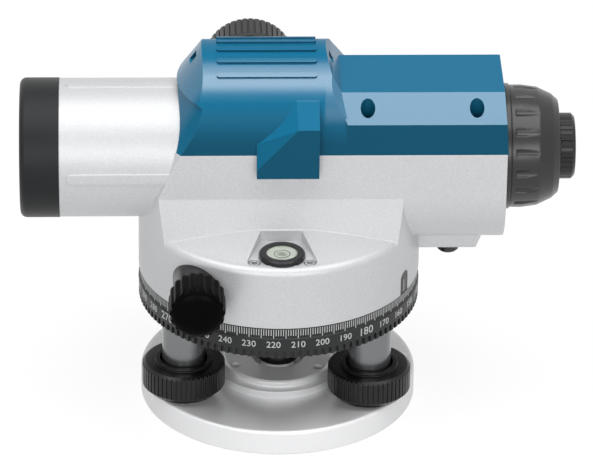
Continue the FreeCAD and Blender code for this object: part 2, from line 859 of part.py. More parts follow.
def eyepiece_box(inset, start, end):
    half = side_half_width - inset
    body = box(start, end, -half, half, box_axis_height, seam_height)
    return body.fuse(rod_x(half, start, end, z=box_axis_height).common(
        box(start, end, -half, half, box_axis_height - half, box_axis_height)))


def objective_tube():
    body = rod_x(tube_radius, tube_end, tube_inner_end)
    half = tube_rib_width / 2
    for turn in range(4):
        rib = rod_y(half, -tube_radius - tube_rib_height, 0, tube_rib_start + half, optic_height)
        rib = rib.fuse(box(tube_rib_start + half, tube_inner_end, -tube_radius - tube_rib_height, 0,
                           optic_height - half, optic_height + half))
        rib.rotate(Vector(0, 0, optic_height), right, 90 * turn)
        body = body.fuse(rib.common(rod_x(tube_radius + tube_rib_height, tube_end, tube_inner_end)))
    return body


def vial_pocket():
    """Pocket that narrows towards the back, with a round well for the vial's cup."""
    outline = [(-pocket_back_half, pocket_back_y), (pocket_back_half, pocket_back_y),
               (pocket_front_half, pocket_front_y), (-pocket_front_half, pocket_front_y)]
    pocket = prism_z(outline, pocket_floor, cone_inner_height + proud)
    corners = [e for e in pocket.Edges if e.BoundBox.ZLength > e.BoundBox.YLength
               and e.BoundBox.YMax < pocket_front_y + edge_find]
    pocket = pocket.makeFillet(pocket_corner, corners)
    return pocket.fuse(rod(vial_bezel_radius + seat_gap, vial_floor, pocket_floor + proud, 0, vial_y))


def keel():
    """Small foot under the eyepiece box, where the reticle's adjusting screw is."""
    top = keel_bottom + keel_height
    body = prism_y([(keel_start, keel_bottom), (keel_end, keel_bottom), (keel_end + keel_slant, top),
                    (keel_start, top)], -keel_half_width, keel_half_width)
    return body.cut(rod_x(side_half_width - wall, 0, box_end, z=box_axis_height))


def focus_lug(extra, inner, outer, bottom):
    """Round-topped lug in the far wall that carries the focusing shaft."""
    half = focus_lug_radius + extra
    body = rod_y(half, inner, outer, focus_x, focus_height)
    return body.fuse(box(focus_x - half, focus_x + half, inner, outer, bottom, focus_height))


def housing_outside():
    body = drum()
    foot = panel_foot_height - panel_lap
    chamber = prism_x(body_section(0, foot), -drum_radius, drum_radius)
    body = body.fuse(chamber.common(pillar_profile(0, foot, seam_height)))
    body = body.fuse(eyepiece_box(0, 0, box_end))
    body = body.fuse(objective_tube())
    body = body.fuse(keel())
    return body.fuse(focus_lug(0, side_half_width - wall, side_half_width, seam_height - panel_lap))


def housing_hollows():
    """Every bore and chamber of the casting, as one tool to cut with."""
    reticle_front = reticle_x - reticle_cell_half
    chamber = prism_x(body_section(wall, floor_top), -drum_radius, reticle_front - bulkhead)
    chamber = chamber.common(pillar_profile(wall + pillar_extra_wall, floor_top, seam_height).fuse(
        eyepiece_box(wall, 0, box_end)))
    hollows = [rod(drum_radius - wall, drum_bottom - proud, drum_ceiling), chamber,
               eyepiece_box(wall, reticle_front, box_end - wall),
               rod_x(tube_bore, tube_end - proud, tube_inner_end + proud),
               rod_x(reticle_cell_radius - wall, reticle_front - 2 * bulkhead, reticle_x),
               rod_x(barrel_tube_radius, box_end - 2 * wall, box_end + proud),
               rod_y(focus_bush_radius, 0, side_half_width + proud, focus_x, focus_height)]
    for sign in (-1, 1):
        hole = rod(drive_bush_radius, wheel_hub_radius, drive_boss_end + proud)
        hollows.append(upright_to_y(hole, shaft_x, shaft_height, sign))
    return hollows


def cover_bosses():
    """Pillars in the chamber that take the cover's screws, and the threads in them."""
    bottom = seam_height - screw_boss_depth
    bosses = [rod(screw_boss_radius, bottom, seam_height, x, y) for x, y in cover_screw_places]
    holes = [rod(cover_screw_radius, bottom + screw_boss_blind, seam_height + proud, x, y)
             for x, y in cover_screw_places]
    return Part.makeCompound(bosses).common(eyepiece_box(0, 0, box_end)), Part.makeCompound(holes)


def housing():
    body = housing_outside()
    for hollow in housing_hollows():
        body = body.cut(hollow)
    bosses, holes = cover_bosses()
    body = body.fuse(bosses).cut(holes)
    plate_top = drum_bottom + floor_plate_thickness
    for x, y in floor_screw_places:
        boss = rod(3 * floor_screw_radius, plate_top, drum_ceiling + proud, x, y)
        thread = rod(floor_screw_radius, drum_bottom - proud, plate_top + floor_screw_length, x, y)
        body = body.fuse(boss).cut(thread)
    body = body.cut(vial_pocket())
    for x in (-vial_screw_x, vial_screw_x):
        body = body.cut(rod(vial_screw_recess, pocket_floor - vial_screw_depth, pocket_floor + proud,
                            x, vial_screw_y))
    body = body.cut(index_block(seat_gap, drum_bottom - proud))
    body = body.cut(rod(adjust_screw_radius + run_gap, keel_bottom - proud, box_axis_height, reticle_x))
    return body.removeSplitter()


def index_block(extra, bottom):
    """Round-topped block set in the drum's wall, where the index line shows."""
    half = index_width / 2 + extra
    start = drum_radius - index_depth - extra
    end = drum_radius + proud
    crown = index_height - index_width / 2
    body = box(start, end, -half, half, bottom, crown)
    body = body.fuse(Part.makeCylinder(half, end - start, Vector(start, 0, crown), right))
    body.rotate(Vector(0, 0, 0), up, index_angle)
    return body


def index_mark():
    skin = rod(drum_radius - index_skin, drum_bottom, index_height + proud)
    return index_block(0, drum_bottom + seat_gap).common(skin)


def housing_floor():
    """Plate that closes the drum from below and carries the upright bearing."""
    top = drum_bottom + floor_plate_thickness
    outer = drum_radius - wall - floor_plate_play
    body = rod(outer, drum_bottom, top).cut(rod(axis_bush_radius, drum_bottom - proud, top + proud))
    for x, y in floor_screw_places:
        body = body.cut(rod(floor_screw_radius, drum_bottom - proud, top + proud, x, y))
        body = body.cut(rod(2 * floor_screw_radius, drum_bottom - proud,
                            drum_bottom + floor_screw_head, x, y))
    return body


def floor_screw(x, y):
    bottom = drum_bottom + floor_screw_sink
    top = drum_bottom + floor_plate_thickness + floor_screw_length - proud
    body = rod(floor_screw_radius, bottom, top, x, y)
    return body.fuse(rod(2 * floor_screw_radius, bottom, drum_bottom + floor_screw_head, x, y))


def axis_bush():
    """Bearing sleeve in the housing floor that turns on the spindle."""
    bottom = drum_bottom - axis_bush_drop
    body = rod(axis_bush_radius, bottom, axis_bush_top)
    return body.cut(rod(spindle_radius + run_gap, bottom - proud, axis_bush_top + proud))


# ---------------------------------------------------------------- circular vial


def vial_holder():
    """Black cup that holds the vial."""
    shoulder = vial_bezel_top - vial_bezel_chamfer
    body = rod(vial_bezel_radius, vial_floor, shoulder, 0, vial_y)
    body = body.fuse(Part.makeCone(vial_bezel_radius, vial_bezel_radius - vial_bezel_chamfer,
                                   vial_bezel_chamfer, Vector(0, vial_y, shoulder), up))
    return body.cut(rod(vial_glass_radius, vial_floor + vial_seat, vial_bezel_top + proud, 0, vial_y))


def vial_glass():
    """Round vial with a domed top."""
    body = rod(vial_glass_radius, vial_floor + vial_seat, vial_glass_top, 0, vial_y)
    return body.common(Part.makeSphere(vial_dome, Vector(0, vial_y, vial_glass_top - vial_dome)))


def vial_screw(x):
    """Adjusting screw with a hexagon socket, sunk in the pocket's floor."""
    bottom = pocket_floor - vial_screw_depth
    body = rod(vial_screw_radius, bottom, pocket_floor - seat_gap, x, vial_screw_y)
    corners = round_places(vial_screw_socket, range(0, 360, 60))
    socket = prism_z(corners, bottom + vial_seat, pocket_floor)
    socket.translate(Vector(x, vial_screw_y, 0))
    return body.cut(socket)


# ---------------------------------------------------------------- top cover


def nose_profile(inset):
    """Round front of the cover: it leans in, steps out at the sighting prow, then leans back."""
    under = nose_tip_radius - nose_foot_step
    return turned([(0, gusset_bottom), (drum_radius - inset, gusset_bottom),
                   (pillar_top_radius - inset, seam_height),
                   (under - inset, nose_tip_height - nose_foot_step),
                   (nose_tip_radius - inset, nose_tip_height),
                   (nose_top_radius - inset, nose_top_height - inset), (0, nose_top_height - inset)])


def barrel(inset, bottom, start, end):
    half = barrel_radius - inset
    body = box(start, end, -half, half, bottom, barrel_height)
    return body.fuse(rod_x(half, start, end, z=barrel_height).common(
        box(start, end, -half, half, barrel_height, barrel_height + half)))


def tail_prism(shift, bottom, reach):
    """Sloping end face of the barrel, as a prism across it that fills everything to its left."""
    face = [(x + shift, seam_height + rise) for x, rise in tail_face]
    outline = [(-reach, bottom), (face[0][0], bottom)] + face + [(-reach, face[-1][1])]
    return prism_y(outline, -drum_radius, drum_radius)


def barrel_ends(inset):
    """Everything between the barrel's two ends: the round nose, and the plainer sloping tail."""
    nose = nose_profile(inset).common(box(-drum_radius, 0, -drum_radius, drum_radius,
                                          gusset_bottom, nose_top_height))
    outline = [(radius - inset, seam_height + rise) for radius, rise in tail_round]
    tail = turned([(0, gusset_bottom), (outline[0][0], gusset_bottom)] + outline + [(0, outline[-1][1])])
    return nose.fuse(tail.common(tail_prism(-inset, gusset_bottom, 0)))


def block(inset, bottom, start, end):
    """Right-hand part of the cover: bevelled near edge, wide bevel on the far edge."""
    half = side_half_width - inset
    diagonal = inset * math.tan(math.radians(block_bevel / 2))
    near_edge = side_half_width - (block_top - block_side_top)
    far_low = block_top - (side_half_width - block_far_edge)
    section = [(-half, bottom), (half, bottom), (half, far_low - diagonal),
               (block_far_edge - diagonal, block_top - inset), (-near_edge + diagonal, block_top - inset),
               (-half, block_side_top - diagonal)]
    body = prism_x(section, start, end)
    lean = block_end_slope * (block_top - bottom)
    keep = prism_y([(start, bottom), (end, bottom), (end - lean, block_top), (start, block_top)],
                   -drum_radius, drum_radius)
    return body.common(keep)


def gusset():
    """Slanted gusset on the near side, standing proud of the wall and lapping the seam."""
    front = gusset_front
    back = gusset_back_y
    wall_y = -side_half_width
    a = Vector(gusset_peak_front_x, front, gusset_front_top)
    b = Vector(gusset_left, front, gusset_low_front)
    c = Vector(gusset_left, wall_y, barrel_height)
    d = Vector(gusset_peak_back_x, back, gusset_back_top)
    e = Vector(gusset_right, front, gusset_front_top)
    f = Vector(gusset_right, front, gusset_bottom)
    g = Vector(gusset_left, front, gusset_bottom)
    h = Vector(gusset_right, back, gusset_back_top)
    f2 = Vector(gusset_right, back, gusset_bottom)
    g2 = Vector(gusset_left, back, gusset_bottom)
    c2 = Vector(gusset_left, back, barrel_height)
    loops = [[a, e, f, g, b], [a, d, h, e], [e, h, f2, f], [f, f2, g2, g], [b, g, g2, c2, c],
             [d, c2, g2, f2, h], [a, b, c], [a, c, d], [c, c2, d]]
    faces = [Part.Face(Part.makePolygon(loop + loop[:1])) for loop in loops]
    solid = Part.makeSolid(Part.makeShell(faces))
    if solid.Volume < 0:
        solid.reverse()
    below = box(gusset_left - proud, gusset_right + proud, -side_half_width - seat_gap, drum_radius,
                gusset_bottom - proud, seam_height)
    return solid.cut(below)


def top_rib(angle):
    """Raised bar with round ends along the top of the barrel."""
    half = top_rib_width / 2
    high = barrel_radius + top_rib_height
    body = box(top_rib_start + half, top_rib_end - half, -half, half, barrel_height, barrel_height + high)
    for x in (top_rib_start + half, top_rib_end - half):
        body = body.fuse(rod(half, barrel_height, barrel_height + high, x, 0))
    body.rotate(Vector(0, 0, barrel_height), right, angle)
    body = body.common(rod_x(high, top_rib_start, top_rib_end, z=barrel_height))
    return body.cut(rod_x(barrel_radius - cover_wall / 2, top_rib_start, top_rib_end, z=barrel_height))


def cover_shell():
    """Outside of the cover before anything is cut from it."""
    start = -pillar_top_radius - proud
    shell = barrel(0, seam_height, start, tail_round[0][0]).common(barrel_ends(0))
    beyond = block(0, seam_height, 0, cover_end).cut(tail_prism(-tail_lap, seam_height - proud, proud))
    return shell.fuse(beyond).fuse(gusset())


def cover_hollow():
    """Inside of the cover; the sighting tunnel keeps its own walls across it."""
    low = seam_height - proud
    hollow = barrel(cover_wall, low, -pillar_top_radius - proud, tail_round[0][0])
    hollow = hollow.common(barrel_ends(cover_wall))
    hollow = hollow.fuse(block(cover_wall, low, 0, cover_end - cover_wall))
    half = sight_wide / 2 + sight_frame
    tunnel = box(-drum_radius, drum_radius, -half, half, sight_height - sight_tall / 2 - sight_frame,
                 nose_top_height)
    return hollow.cut(tunnel)


def top_cover():
    body = cover_shell().cut(cover_hollow())
    body = body.cut(box(-drum_radius, drum_radius, -sight_wide / 2, sight_wide / 2,
                        sight_height - sight_tall / 2, sight_height + sight_tall / 2))
    for k in range(top_rib_count):
        body = body.fuse(top_rib((k - (top_rib_count - 1) / 2) * top_rib_pitch))
    body = body.cut(rod_x(flange_radius + seat_gap, box_end, cover_end + proud))
    body = body.cut(rod_x(tube_radius + tube_rib_height + seat_gap, -drum_radius, tube_inner_end + seat_gap))
    body = body.cut(focus_lug(seat_gap, 0, side_half_width + proud, seam_height - proud))
    outer = block(0, seam_height, 0, cover_end)
    for x, y in cover_screw_places:
        body = body.fuse(rod(screw_boss_radius, seam_height, block_top, x, y).common(outer))
        body = body.cut(rod(cover_hole_radius, cover_screw_seat, block_top + proud, x, y))
        body = body.cut(rod(cover_screw_radius + seat_gap, seam_height - proud, block_top, x, y))
    return body.removeSplitter()


def cover_screw(x, y):
    top = cover_screw_seat + cover_screw_head
    head = rod(cover_hole_radius - loose_gap, cover_screw_seat, top, x, y)
    shank = rod(cover_screw_radius, cover_screw_seat - cover_screw_length, top - cover_slot_depth, x, y)
    half = cover_hole_radius
    slot = box(x - half, x + half, y - cover_slot_width / 2, y + cover_slot_width / 2,
               top - cover_slot_depth, top + proud)
    return head.fuse(shank).cut(slot)


# ---------------------------------------------------------------- objective


def lens_hood():
    spigot = tube_end + hood_spigot
    body = turned_x([(hood_end, hood_bore), (hood_end, hood_radius), (tube_end, hood_radius),
                     (tube_end, tube_bore), (spigot, tube_bore), (spigot, hood_bore)])
    rim = [e for e in body.Edges if e.BoundBox.XMax < hood_end + edge_find
           and e.BoundBox.YMax > hood_radius - edge_find]
    return body.makeFillet(hood_round, rim)


def objective_cell():
    end = cell_front + cell_length
    seat = cell_front + lens_seat + lens_thickness
    stop = aperture_radius - lens_lap
    return turned_x([(cell_front, lens_radius), (cell_front, tube_bore), (end, tube_bore), (end, stop),
                     (seat, stop), (seat, lens_radius)])


def lens(front, thickness, radius, bulge):
    """Round glass, bulged on both faces."""
    sphere = (radius ** 2 + bulge ** 2) / (2 * bulge)
    body = rod_x(radius, front, front + thickness)
    body = body.common(Part.makeSphere(sphere, Vector(front + sphere, 0, optic_height)))
    return body.common(Part.makeSphere(sphere, Vector(front + thickness - sphere, 0, optic_height)))


def objective_ring():
    end = cell_front + lens_seat
    start = end - ring_thickness
    inner = aperture_radius - ring_lap
    return turned_x([(start, inner), (start, lens_radius), (end, lens_radius), (end, inner)])


# ---------------------------------------------------------------- focusing


def focus_guide():
    """Fixed tube in which the focusing lens slides; its slot for the rack is open at one end."""
    bore = carriage_radius + run_gap
    outer = bore + guide_wall
    shoulder = guide_start + guide_flange
    body = turned_x([(guide_start, bore), (guide_start, tube_bore), (shoulder, tube_bore),
                     (shoulder, outer), (guide_end, outer), (guide_end, bore)])
    half = pinion_width / 2 + loose_gap
    slot_start = shoulder + guide_slot_gap
    return body.cut(box(slot_start, guide_end + proud, -half, half, optic_height, focus_height))


def focus_cell():
    """Sliding lens cell with the rack that the pinion drives."""
    start = carriage_start
    end = start + carriage_length
    lens_end = start + focus_lens_seat + focus_lens_thickness
    stop = carriage_bore - carriage_lip
    body = turned_x([(start, carriage_bore), (start, carriage_radius), (end, carriage_radius),
                     (end, stop), (lens_end, stop), (lens_end, carriage_bore)])
    top = optic_height + carriage_radius
    rack_top = top + rack_proud
    half = pinion_width / 2
    rack = box(start, end, -half, half, top - rack_root, rack_top)
    groove = rack_groove_width / 2
    grooves = []
    for k in range(int((end - start) / rack_pitch) - 1):
        x = start + (k + 1) * rack_pitch
        grooves.append(box(x - groove, x + groove, -half - proud, half + proud,
                           rack_top - rack_groove_depth, rack_top + proud))
    return body.fuse(rack.cut(Part.makeCompound(grooves))).removeSplitter()


def focus_pinion():
    body = rod(focus_shaft_radius, -pinion_width / 2, focus_knob_end - knob_cap)
    outline = toothed_outline(focus_pitch_radius - pinion_tip_gap, focus_shaft_radius + pinion_tip_gap,
                              pinion_teeth, tooth_form)
    body = body.fuse(prism_z(outline, -pinion_width / 2, pinion_width / 2))
    return upright_to_y(body, focus_x, focus_height)


def focus_bush():
    inner = side_half_width - 2 * wall
    outer = side_half_width + focus_bush_proud
    body = rod(focus_bush_radius, inner, outer)
    body = body.fuse(rod(focus_lug_radius - focus_bush_lap, side_half_width, outer))
    body = body.cut(rod(focus_shaft_radius + run_gap, inner - proud, outer + proud))
    return upright_to_y(body, focus_x, focus_height)


def focus_knob():
    length = focus_knob_end - focus_knob_start
    body = ridged(focus_knob_radius, focus_knob_ridge_count, focus_ridge_depth, 0, length)
    body = body.common(chamfered(focus_knob_radius, 0, length, focus_knob_chamfer))
    floor = length - focus_dish_depth
    dish = focus_knob_radius - focus_dish_rim
    body = body.cut(turned([(0, floor), (dish, floor), (dish + focus_dish_slant, length + proud),
                            (0, length + proud)]))
    body = body.cut(rod(focus_shaft_radius, -proud, length - knob_cap))
    body.translate(Vector(0, 0, focus_knob_start))
    return upright_to_y(body, focus_x, focus_height)


# ---------------------------------------------------------------- compensator


def compensator_frame():
    """Fixed stand: floor plate, two cheeks and the bar that the pendulum hangs from."""
    half = comp_half_width
    low = comp_pivot_height + comp_bar_gap
    high = low + comp_plate
    left = comp_x - comp_bar_half
    rest = comp_x + comp_bar_half
    body = box(comp_x - comp_length / 2, comp_x + comp_length / 2, -half, half,
               floor_top, floor_top + comp_plate)
    for y in (-half, half - comp_plate):
        body = body.fuse(box(left, rest, y, y + comp_plate, floor_top, high))
    return body.fuse(box(left, rest, -half, half, low, high)).removeSplitter()


def damper_magnet():
    low = floor_top + comp_plate
    high = low + magnet_height
    bore = rod(magnet_radius / 2, low + magnet_floor, high + proud, comp_x)
    return rod(magnet_radius, low, high, comp_x).cut(bore)


def pendulum():
    """Hanging cradle with its four suspension tapes and the damper's plunger."""
    x0 = comp_x - pendulum_length / 2
    x1 = comp_x + pendulum_length / 2
    half = pendulum_half_width
    body = box(x0, x1, -half, half, pendulum_bottom, pendulum_top)
    body = body.cut(box(x0 - proud, x1 + proud, -half + pendulum_plate, half - pendulum_plate,
                        pendulum_bottom + pendulum_plate, pendulum_top - pendulum_plate))
    for x in (comp_x - tape_x, comp_x + tape_x):
        for y in (-half + tape_inset, half - tape_inset):
            body = body.fuse(rod(tape_radius, pendulum_top - proud, comp_pivot_height, x, y))
    low = floor_top + comp_plate + plunger_gap
    return body.fuse(rod(magnet_radius / 2 - plunger_side_gap, low, pendulum_bottom + proud, comp_x))


def compensator_prism():
    half = pendulum_half_width - pendulum_plate
    low = pendulum_bottom + pendulum_plate
    high = pendulum_top - pendulum_plate
    x0 = comp_x - pendulum_length / 2 + prism_margin
    x1 = comp_x + pendulum_length / 2 - prism_margin
    return prism_y([(x0, low), (x1, low), (x1 - prism_slant, high), (x0 + prism_slant, high)], -half, half)


# ---------------------------------------------------------------- reticle and eyepiece


def reticle_cell():
    x0 = reticle_x - reticle_cell_half
    x1 = reticle_x + reticle_cell_half
    return rod_x(reticle_cell_radius, x0, x1).cut(rod_x(reticle_bore, x0 - proud, x1 + proud))


def reticle_disc():
    return rod_x(reticle_bore, reticle_x - reticle_glass / 2, reticle_x + reticle_glass / 2)


def reticle_screw():
    tip = optic_height - reticle_cell_radius
    return rod(adjust_screw_radius, adjust_cap_bottom + adjust_cap_roof, tip, reticle_x)


def reticle_cap():
    body = turned([(0, adjust_cap_bottom), (adjust_cap_radius - adjust_cap_chamfer, adjust_cap_bottom),
                   (adjust_cap_radius, adjust_cap_bottom + adjust_cap_chamfer),
                   (adjust_cap_radius, keel_bottom), (0, keel_bottom)])
    body.translate(Vector(reticle_x, 0, 0))
    blind = adjust_cap_bottom + adjust_cap_roof
    return body.cut(rod(adjust_screw_radius, blind, keel_bottom + proud, reticle_x))


def eyepiece_flange():
    bore = rod_x(barrel_tube_radius, box_end - proud, flange_end + proud)
    return rod_x(flange_radius, box_end, flange_end).cut(bore)


def eyepiece_guard():
    """Fluted protective ring around the eyepiece."""
    mouth = eye_ring_radius + loose_gap
    inner_edge = guard_end - guard_wall
    body = turned_x([(flange_end, guard_radius - guard_wall), (flange_end, guard_radius),
                     (flange_end + guard_straight, guard_radius),
                     (flange_end + guard_curve, guard_radius - guard_curve_step),
                     (guard_end - guard_slope, guard_shoulder_radius),
                     (guard_end, guard_shoulder_radius - guard_edge_step),
                     (guard_end, mouth), (inner_edge, mouth),
                     (inner_edge - guard_edge_step, guard_shoulder_radius - guard_wall - guard_curve_step)])
    start = flange_end + flute_start
    flute_axis = optic_height + guard_radius + flute_radius - flute_depth
    flutes = []
    for k in range(guard_flute_count):
        flute = rod_x(flute_radius, start, start + flute_length, z=flute_axis)
        flute.rotate(Vector(0, 0, optic_height), right, (k + 0.5) * 360 / guard_flute_count)
        flutes.append(flute)
    return body.cut(Part.makeCompound(flutes))


def eyepiece_tube():
    end = eye_ring_start - eye_ring_gap
    bore = rod_x(barrel_tube_radius - barrel_tube_wall, barrel_tube_start - proud, end + proud)
    return rod_x(barrel_tube_radius, barrel_tube_start, end).cut(bore)


def eyepiece_cell():
    end = eye_cell_start + eye_cell_length
    seat = end - eye_lens_thickness - proud
    outer = eye_bore + eye_cell_wall
    stop = eye_bore - eye_lip
    return turned_x([(eye_cell_start, stop), (eye_cell_start, outer), (end, outer), (end, eye_bore),
                     (seat, eye_bore), (seat, stop)])


def eyepiece_lens():
    front = eye_cell_start + eye_cell_length - eye_lens_thickness - proud
    return lens(front, eye_lens_thickness, eye_bore, eye_lens_bulge)


def diopter_ring():
    """Knurled ring turned to focus the crosshairs; its skirt runs on the eyepiece tube."""
    bore = barrel_tube_radius + run_gap
    skirt_start = eye_ring_start - eye_skirt_length
    body = ridged(eye_ring_radius, eye_ring_ridge_count, eye_ridge_depth, eye_ring_start, eye_ring_end)
    body = body.common(chamfered(eye_ring_radius, eye_ring_start, eye_ring_end, eye_ring_chamfer))
    body = body.fuse(rod(bore + eye_skirt_wall, skirt_start, eye_ring_start + proud))
    body = body.cut(rod(bore, skirt_start - proud, eye_ring_start))
    body = body.cut(rod(eye_hole, eye_ring_start - proud, eye_ring_end + proud))
    cup = (eye_ring_end - eye_ring_start) * eye_cup_share
    body = body.cut(Part.makeCone(eye_hole, eye_hole + cup, cup, Vector(0, 0, eye_ring_end - cup), up))
    return upright_to_x(body)


# ---------------------------------------------------------------- every piece to its own file

os.makedirs("parts", exist_ok=True)

export(base_plate(), "base_plate")
export(spring_plate(), "spring_plate")
export(Part.makeCompound([countersunk_screw(x, y) for x, y in plate_screw_places]), "spring_plate_screws")
export(centre_collar(), "centre_collar")
for side, place in foot_places.items():
    export(foot_knob(*place), "foot_knob_" + side)
    export(foot_spindle(*place), "foot_spindle_" + side)
    export(nut_sleeve(*place), "nut_sleeve_" + side)
export(Part.makeCompound([foot_nut(x, y) for x, y in foot_places.values()]), "foot_nuts")
export(head_plate(), "head_plate")
export(centre_hub(), "centre_hub")
export(spindle(), "spindle")
export(clutch_washer(), "clutch_washer")
export(spindle_retainer(), "spindle_retainer")
export(horizontal_circle(), "horizontal_circle")
export(worm_wheel(), "worm_wheel")
export(drive_shaft(), "drive_shaft")
for side, sign in (("near", -1), ("far", 1)):
    export(drive_knob(sign), "drive_knob_" + side)
    export(drive_bush(sign), "drive_bush_" + side)
export(housing(), "housing")
export(housing_floor(), "housing_floor")
export(Part.makeCompound([floor_screw(x, y) for x, y in floor_screw_places]), "floor_screws")
export(axis_bush(), "axis_bush")
export(index_mark(), "index_mark")
export(vial_holder(), "vial_holder")
export(vial_glass(), "vial_glass")
export(Part.makeCompound([vial_screw(-vial_screw_x), vial_screw(vial_screw_x)]), "vial_screws")
export(top_cover(), "top_cover")
export(Part.makeCompound([cover_screw(x, y) for x, y in cover_screw_places]), "cover_screws")
export(lens_hood(), "lens_hood")
export(objective_cell(), "objective_cell")
export(lens(cell_front + lens_seat, lens_thickness, lens_radius, lens_bulge), "objective_lens")
export(objective_ring(), "objective_ring")
export(focus_guide(), "focus_guide")
export(focus_cell(), "focus_cell")
export(focus_pinion(), "focus_pinion")
export(focus_bush(), "focus_bush")
export(focus_knob(), "focus_knob")
export(lens(carriage_start + focus_lens_seat, focus_lens_thickness, carriage_bore, focus_lens_bulge),
       "focus_lens")
export(compensator_frame(), "compensator_frame")
export(damper_magnet(), "damper_magnet")
export(pendulum(), "pendulum")
export(compensator_prism(), "compensator_prism")
export(reticle_cell(), "reticle_cell")
export(reticle_disc(), "reticle_disc")
export(reticle_screw(), "reticle_screw")
export(reticle_cap(), "reticle_cap")
export(eyepiece_flange(), "eyepiece_flange")
export(eyepiece_guard(), "eyepiece_guard")
export(eyepiece_tube(), "eyepiece_tube")
export(eyepiece_cell(), "eyepiece_cell")
export(eyepiece_lens(), "eyepiece_lens")
export(diopter_ring(), "diopter_ring")
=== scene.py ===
import math

import bpy
from mathutils import Matrix, Vector


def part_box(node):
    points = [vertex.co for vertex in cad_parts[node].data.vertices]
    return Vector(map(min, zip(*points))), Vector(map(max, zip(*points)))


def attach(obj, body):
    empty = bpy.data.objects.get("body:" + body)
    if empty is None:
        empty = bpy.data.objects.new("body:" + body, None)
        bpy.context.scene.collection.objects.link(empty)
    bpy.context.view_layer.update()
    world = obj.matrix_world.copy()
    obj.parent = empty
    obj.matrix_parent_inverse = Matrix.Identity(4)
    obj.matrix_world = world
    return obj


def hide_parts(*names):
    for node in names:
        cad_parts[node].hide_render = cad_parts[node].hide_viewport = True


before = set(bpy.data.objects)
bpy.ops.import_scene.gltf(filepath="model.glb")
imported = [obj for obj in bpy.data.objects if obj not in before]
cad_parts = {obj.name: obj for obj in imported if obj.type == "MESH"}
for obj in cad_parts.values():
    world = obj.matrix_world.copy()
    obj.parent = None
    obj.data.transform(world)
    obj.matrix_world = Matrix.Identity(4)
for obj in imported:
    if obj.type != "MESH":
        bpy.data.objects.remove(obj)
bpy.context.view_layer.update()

# ---------------------------------------------------------------------------------------------
# Telescope housing: one light-alloy casting with the drum, the upright chamber and the objective
# tube in it.  Shot-blasted, then sprayed with a satin silver paint whose grain shows close up.


def new_finish(name):
    """An empty node material, with its nodes, its links and its shader."""
    made = bpy.data.materials.new(name)
    made.use_nodes = True
    return made, made.node_tree.nodes, made.node_tree.links, made.node_tree.nodes["Principled BSDF"]


def grained(name, colour, roughness, metallic=0.0, grain=0.0006, depth=0.00003, mottle=0.06, edge=0.0003,
            edge_wear_and_painted_shading=None, shine=0.5):
    """A finish with fine grain, slow mottling of colour and gloss, softened edges and, where
    an edge colour is given, edges painted towards it: wear, and painted light and shade along the edges."""
    made, nodes, links, shader = new_finish(name)
    place = nodes.new("ShaderNodeTexCoord")
    fine = nodes.new("ShaderNodeTexNoise")
    fine.inputs["Scale"].default_value = 1 / grain
    fine.inputs["Detail"].default_value = 3.0
    links.new(place.outputs["Object"], fine.inputs["Vector"])
    slow = nodes.new("ShaderNodeTexNoise")
    slow.inputs["Scale"].default_value = 60.0
    slow.inputs["Detail"].default_value = 4.0
    links.new(place.outputs["Object"], slow.inputs["Vector"])
    both = nodes.new("ShaderNodeMix")
    both.data_type = "FLOAT"
    both.inputs["Factor"].default_value = 0.12
    links.new(fine.outputs["Fac"], both.inputs["A"])
    links.new(slow.outputs["Fac"], both.inputs["B"])
    shade = nodes.new("ShaderNodeValToRGB")
    shade.color_ramp.elements[0].position = 0.25
    shade.color_ramp.elements[0].color = [c * (1 - mottle) for c in colour] + [1]
    shade.color_ramp.elements[1].position = 0.75
    shade.color_ramp.elements[1].color = [min(1, c * (1 + mottle)) for c in colour] + [1]
    links.new(both.outputs["Result"], shade.inputs["Fac"])
    gloss = nodes.new("ShaderNodeMapRange")
    gloss.inputs["To Min"].default_value = roughness * 0.88
    gloss.inputs["To Max"].default_value = min(1.0, roughness * 1.12)
    links.new(slow.outputs["Fac"], gloss.inputs["Value"])
    links.new(gloss.outputs["Result"], shader.inputs["Roughness"])
    rounded = nodes.new("ShaderNodeBevel")
    rounded.samples = 6
    rounded.inputs["Radius"].default_value = edge
    bump = nodes.new("ShaderNodeBump")
    bump.inputs["Strength"].default_value = 0.5
    bump.inputs["Distance"].default_value = depth
    links.new(fine.outputs["Fac"], bump.inputs["Height"])
    links.new(rounded.outputs["Normal"], bump.inputs["Normal"])
    links.new(bump.outputs["Normal"], shader.inputs["Normal"])
    out = shade.outputs["Color"]
    # edges painted towards the edge colour: wear, and painted light and shade along the edges
    if edge_wear_and_painted_shading:
        flat = nodes.new("ShaderNodeNewGeometry")
        turn = nodes.new("ShaderNodeVectorMath")
        turn.operation = "DOT_PRODUCT"
        links.new(rounded.outputs["Normal"], turn.inputs[0])
        links.new(flat.outputs["Normal"], turn.inputs[1])
        wear_and_shading_mask = nodes.new("ShaderNodeMapRange")
        wear_and_shading_mask.inputs["From Min"].default_value = 0.82
        wear_and_shading_mask.inputs["From Max"].default_value = 0.99
        wear_and_shading_mask.inputs["To Min"].default_value = 0.6
        wear_and_shading_mask.inputs["To Max"].default_value = 0.0
        links.new(turn.outputs["Value"], wear_and_shading_mask.inputs["Value"])
        wear_and_shading_edges = nodes.new("ShaderNodeMix")
        wear_and_shading_edges.data_type = "RGBA"
        wear_and_shading_edges.inputs["B"].default_value = (*edge_wear_and_painted_shading, 1)
        links.new(wear_and_shading_mask.outputs["Result"], wear_and_shading_edges.inputs["Factor"])
        links.new(out, wear_and_shading_edges.inputs["A"])
        out = wear_and_shading_edges.outputs["Result"]
    links.new(out, shader.inputs["Base Color"])
    shader.inputs["Metallic"].default_value = metallic
    shader.inputs["Specular IOR Level"].default_value = shine
    return made


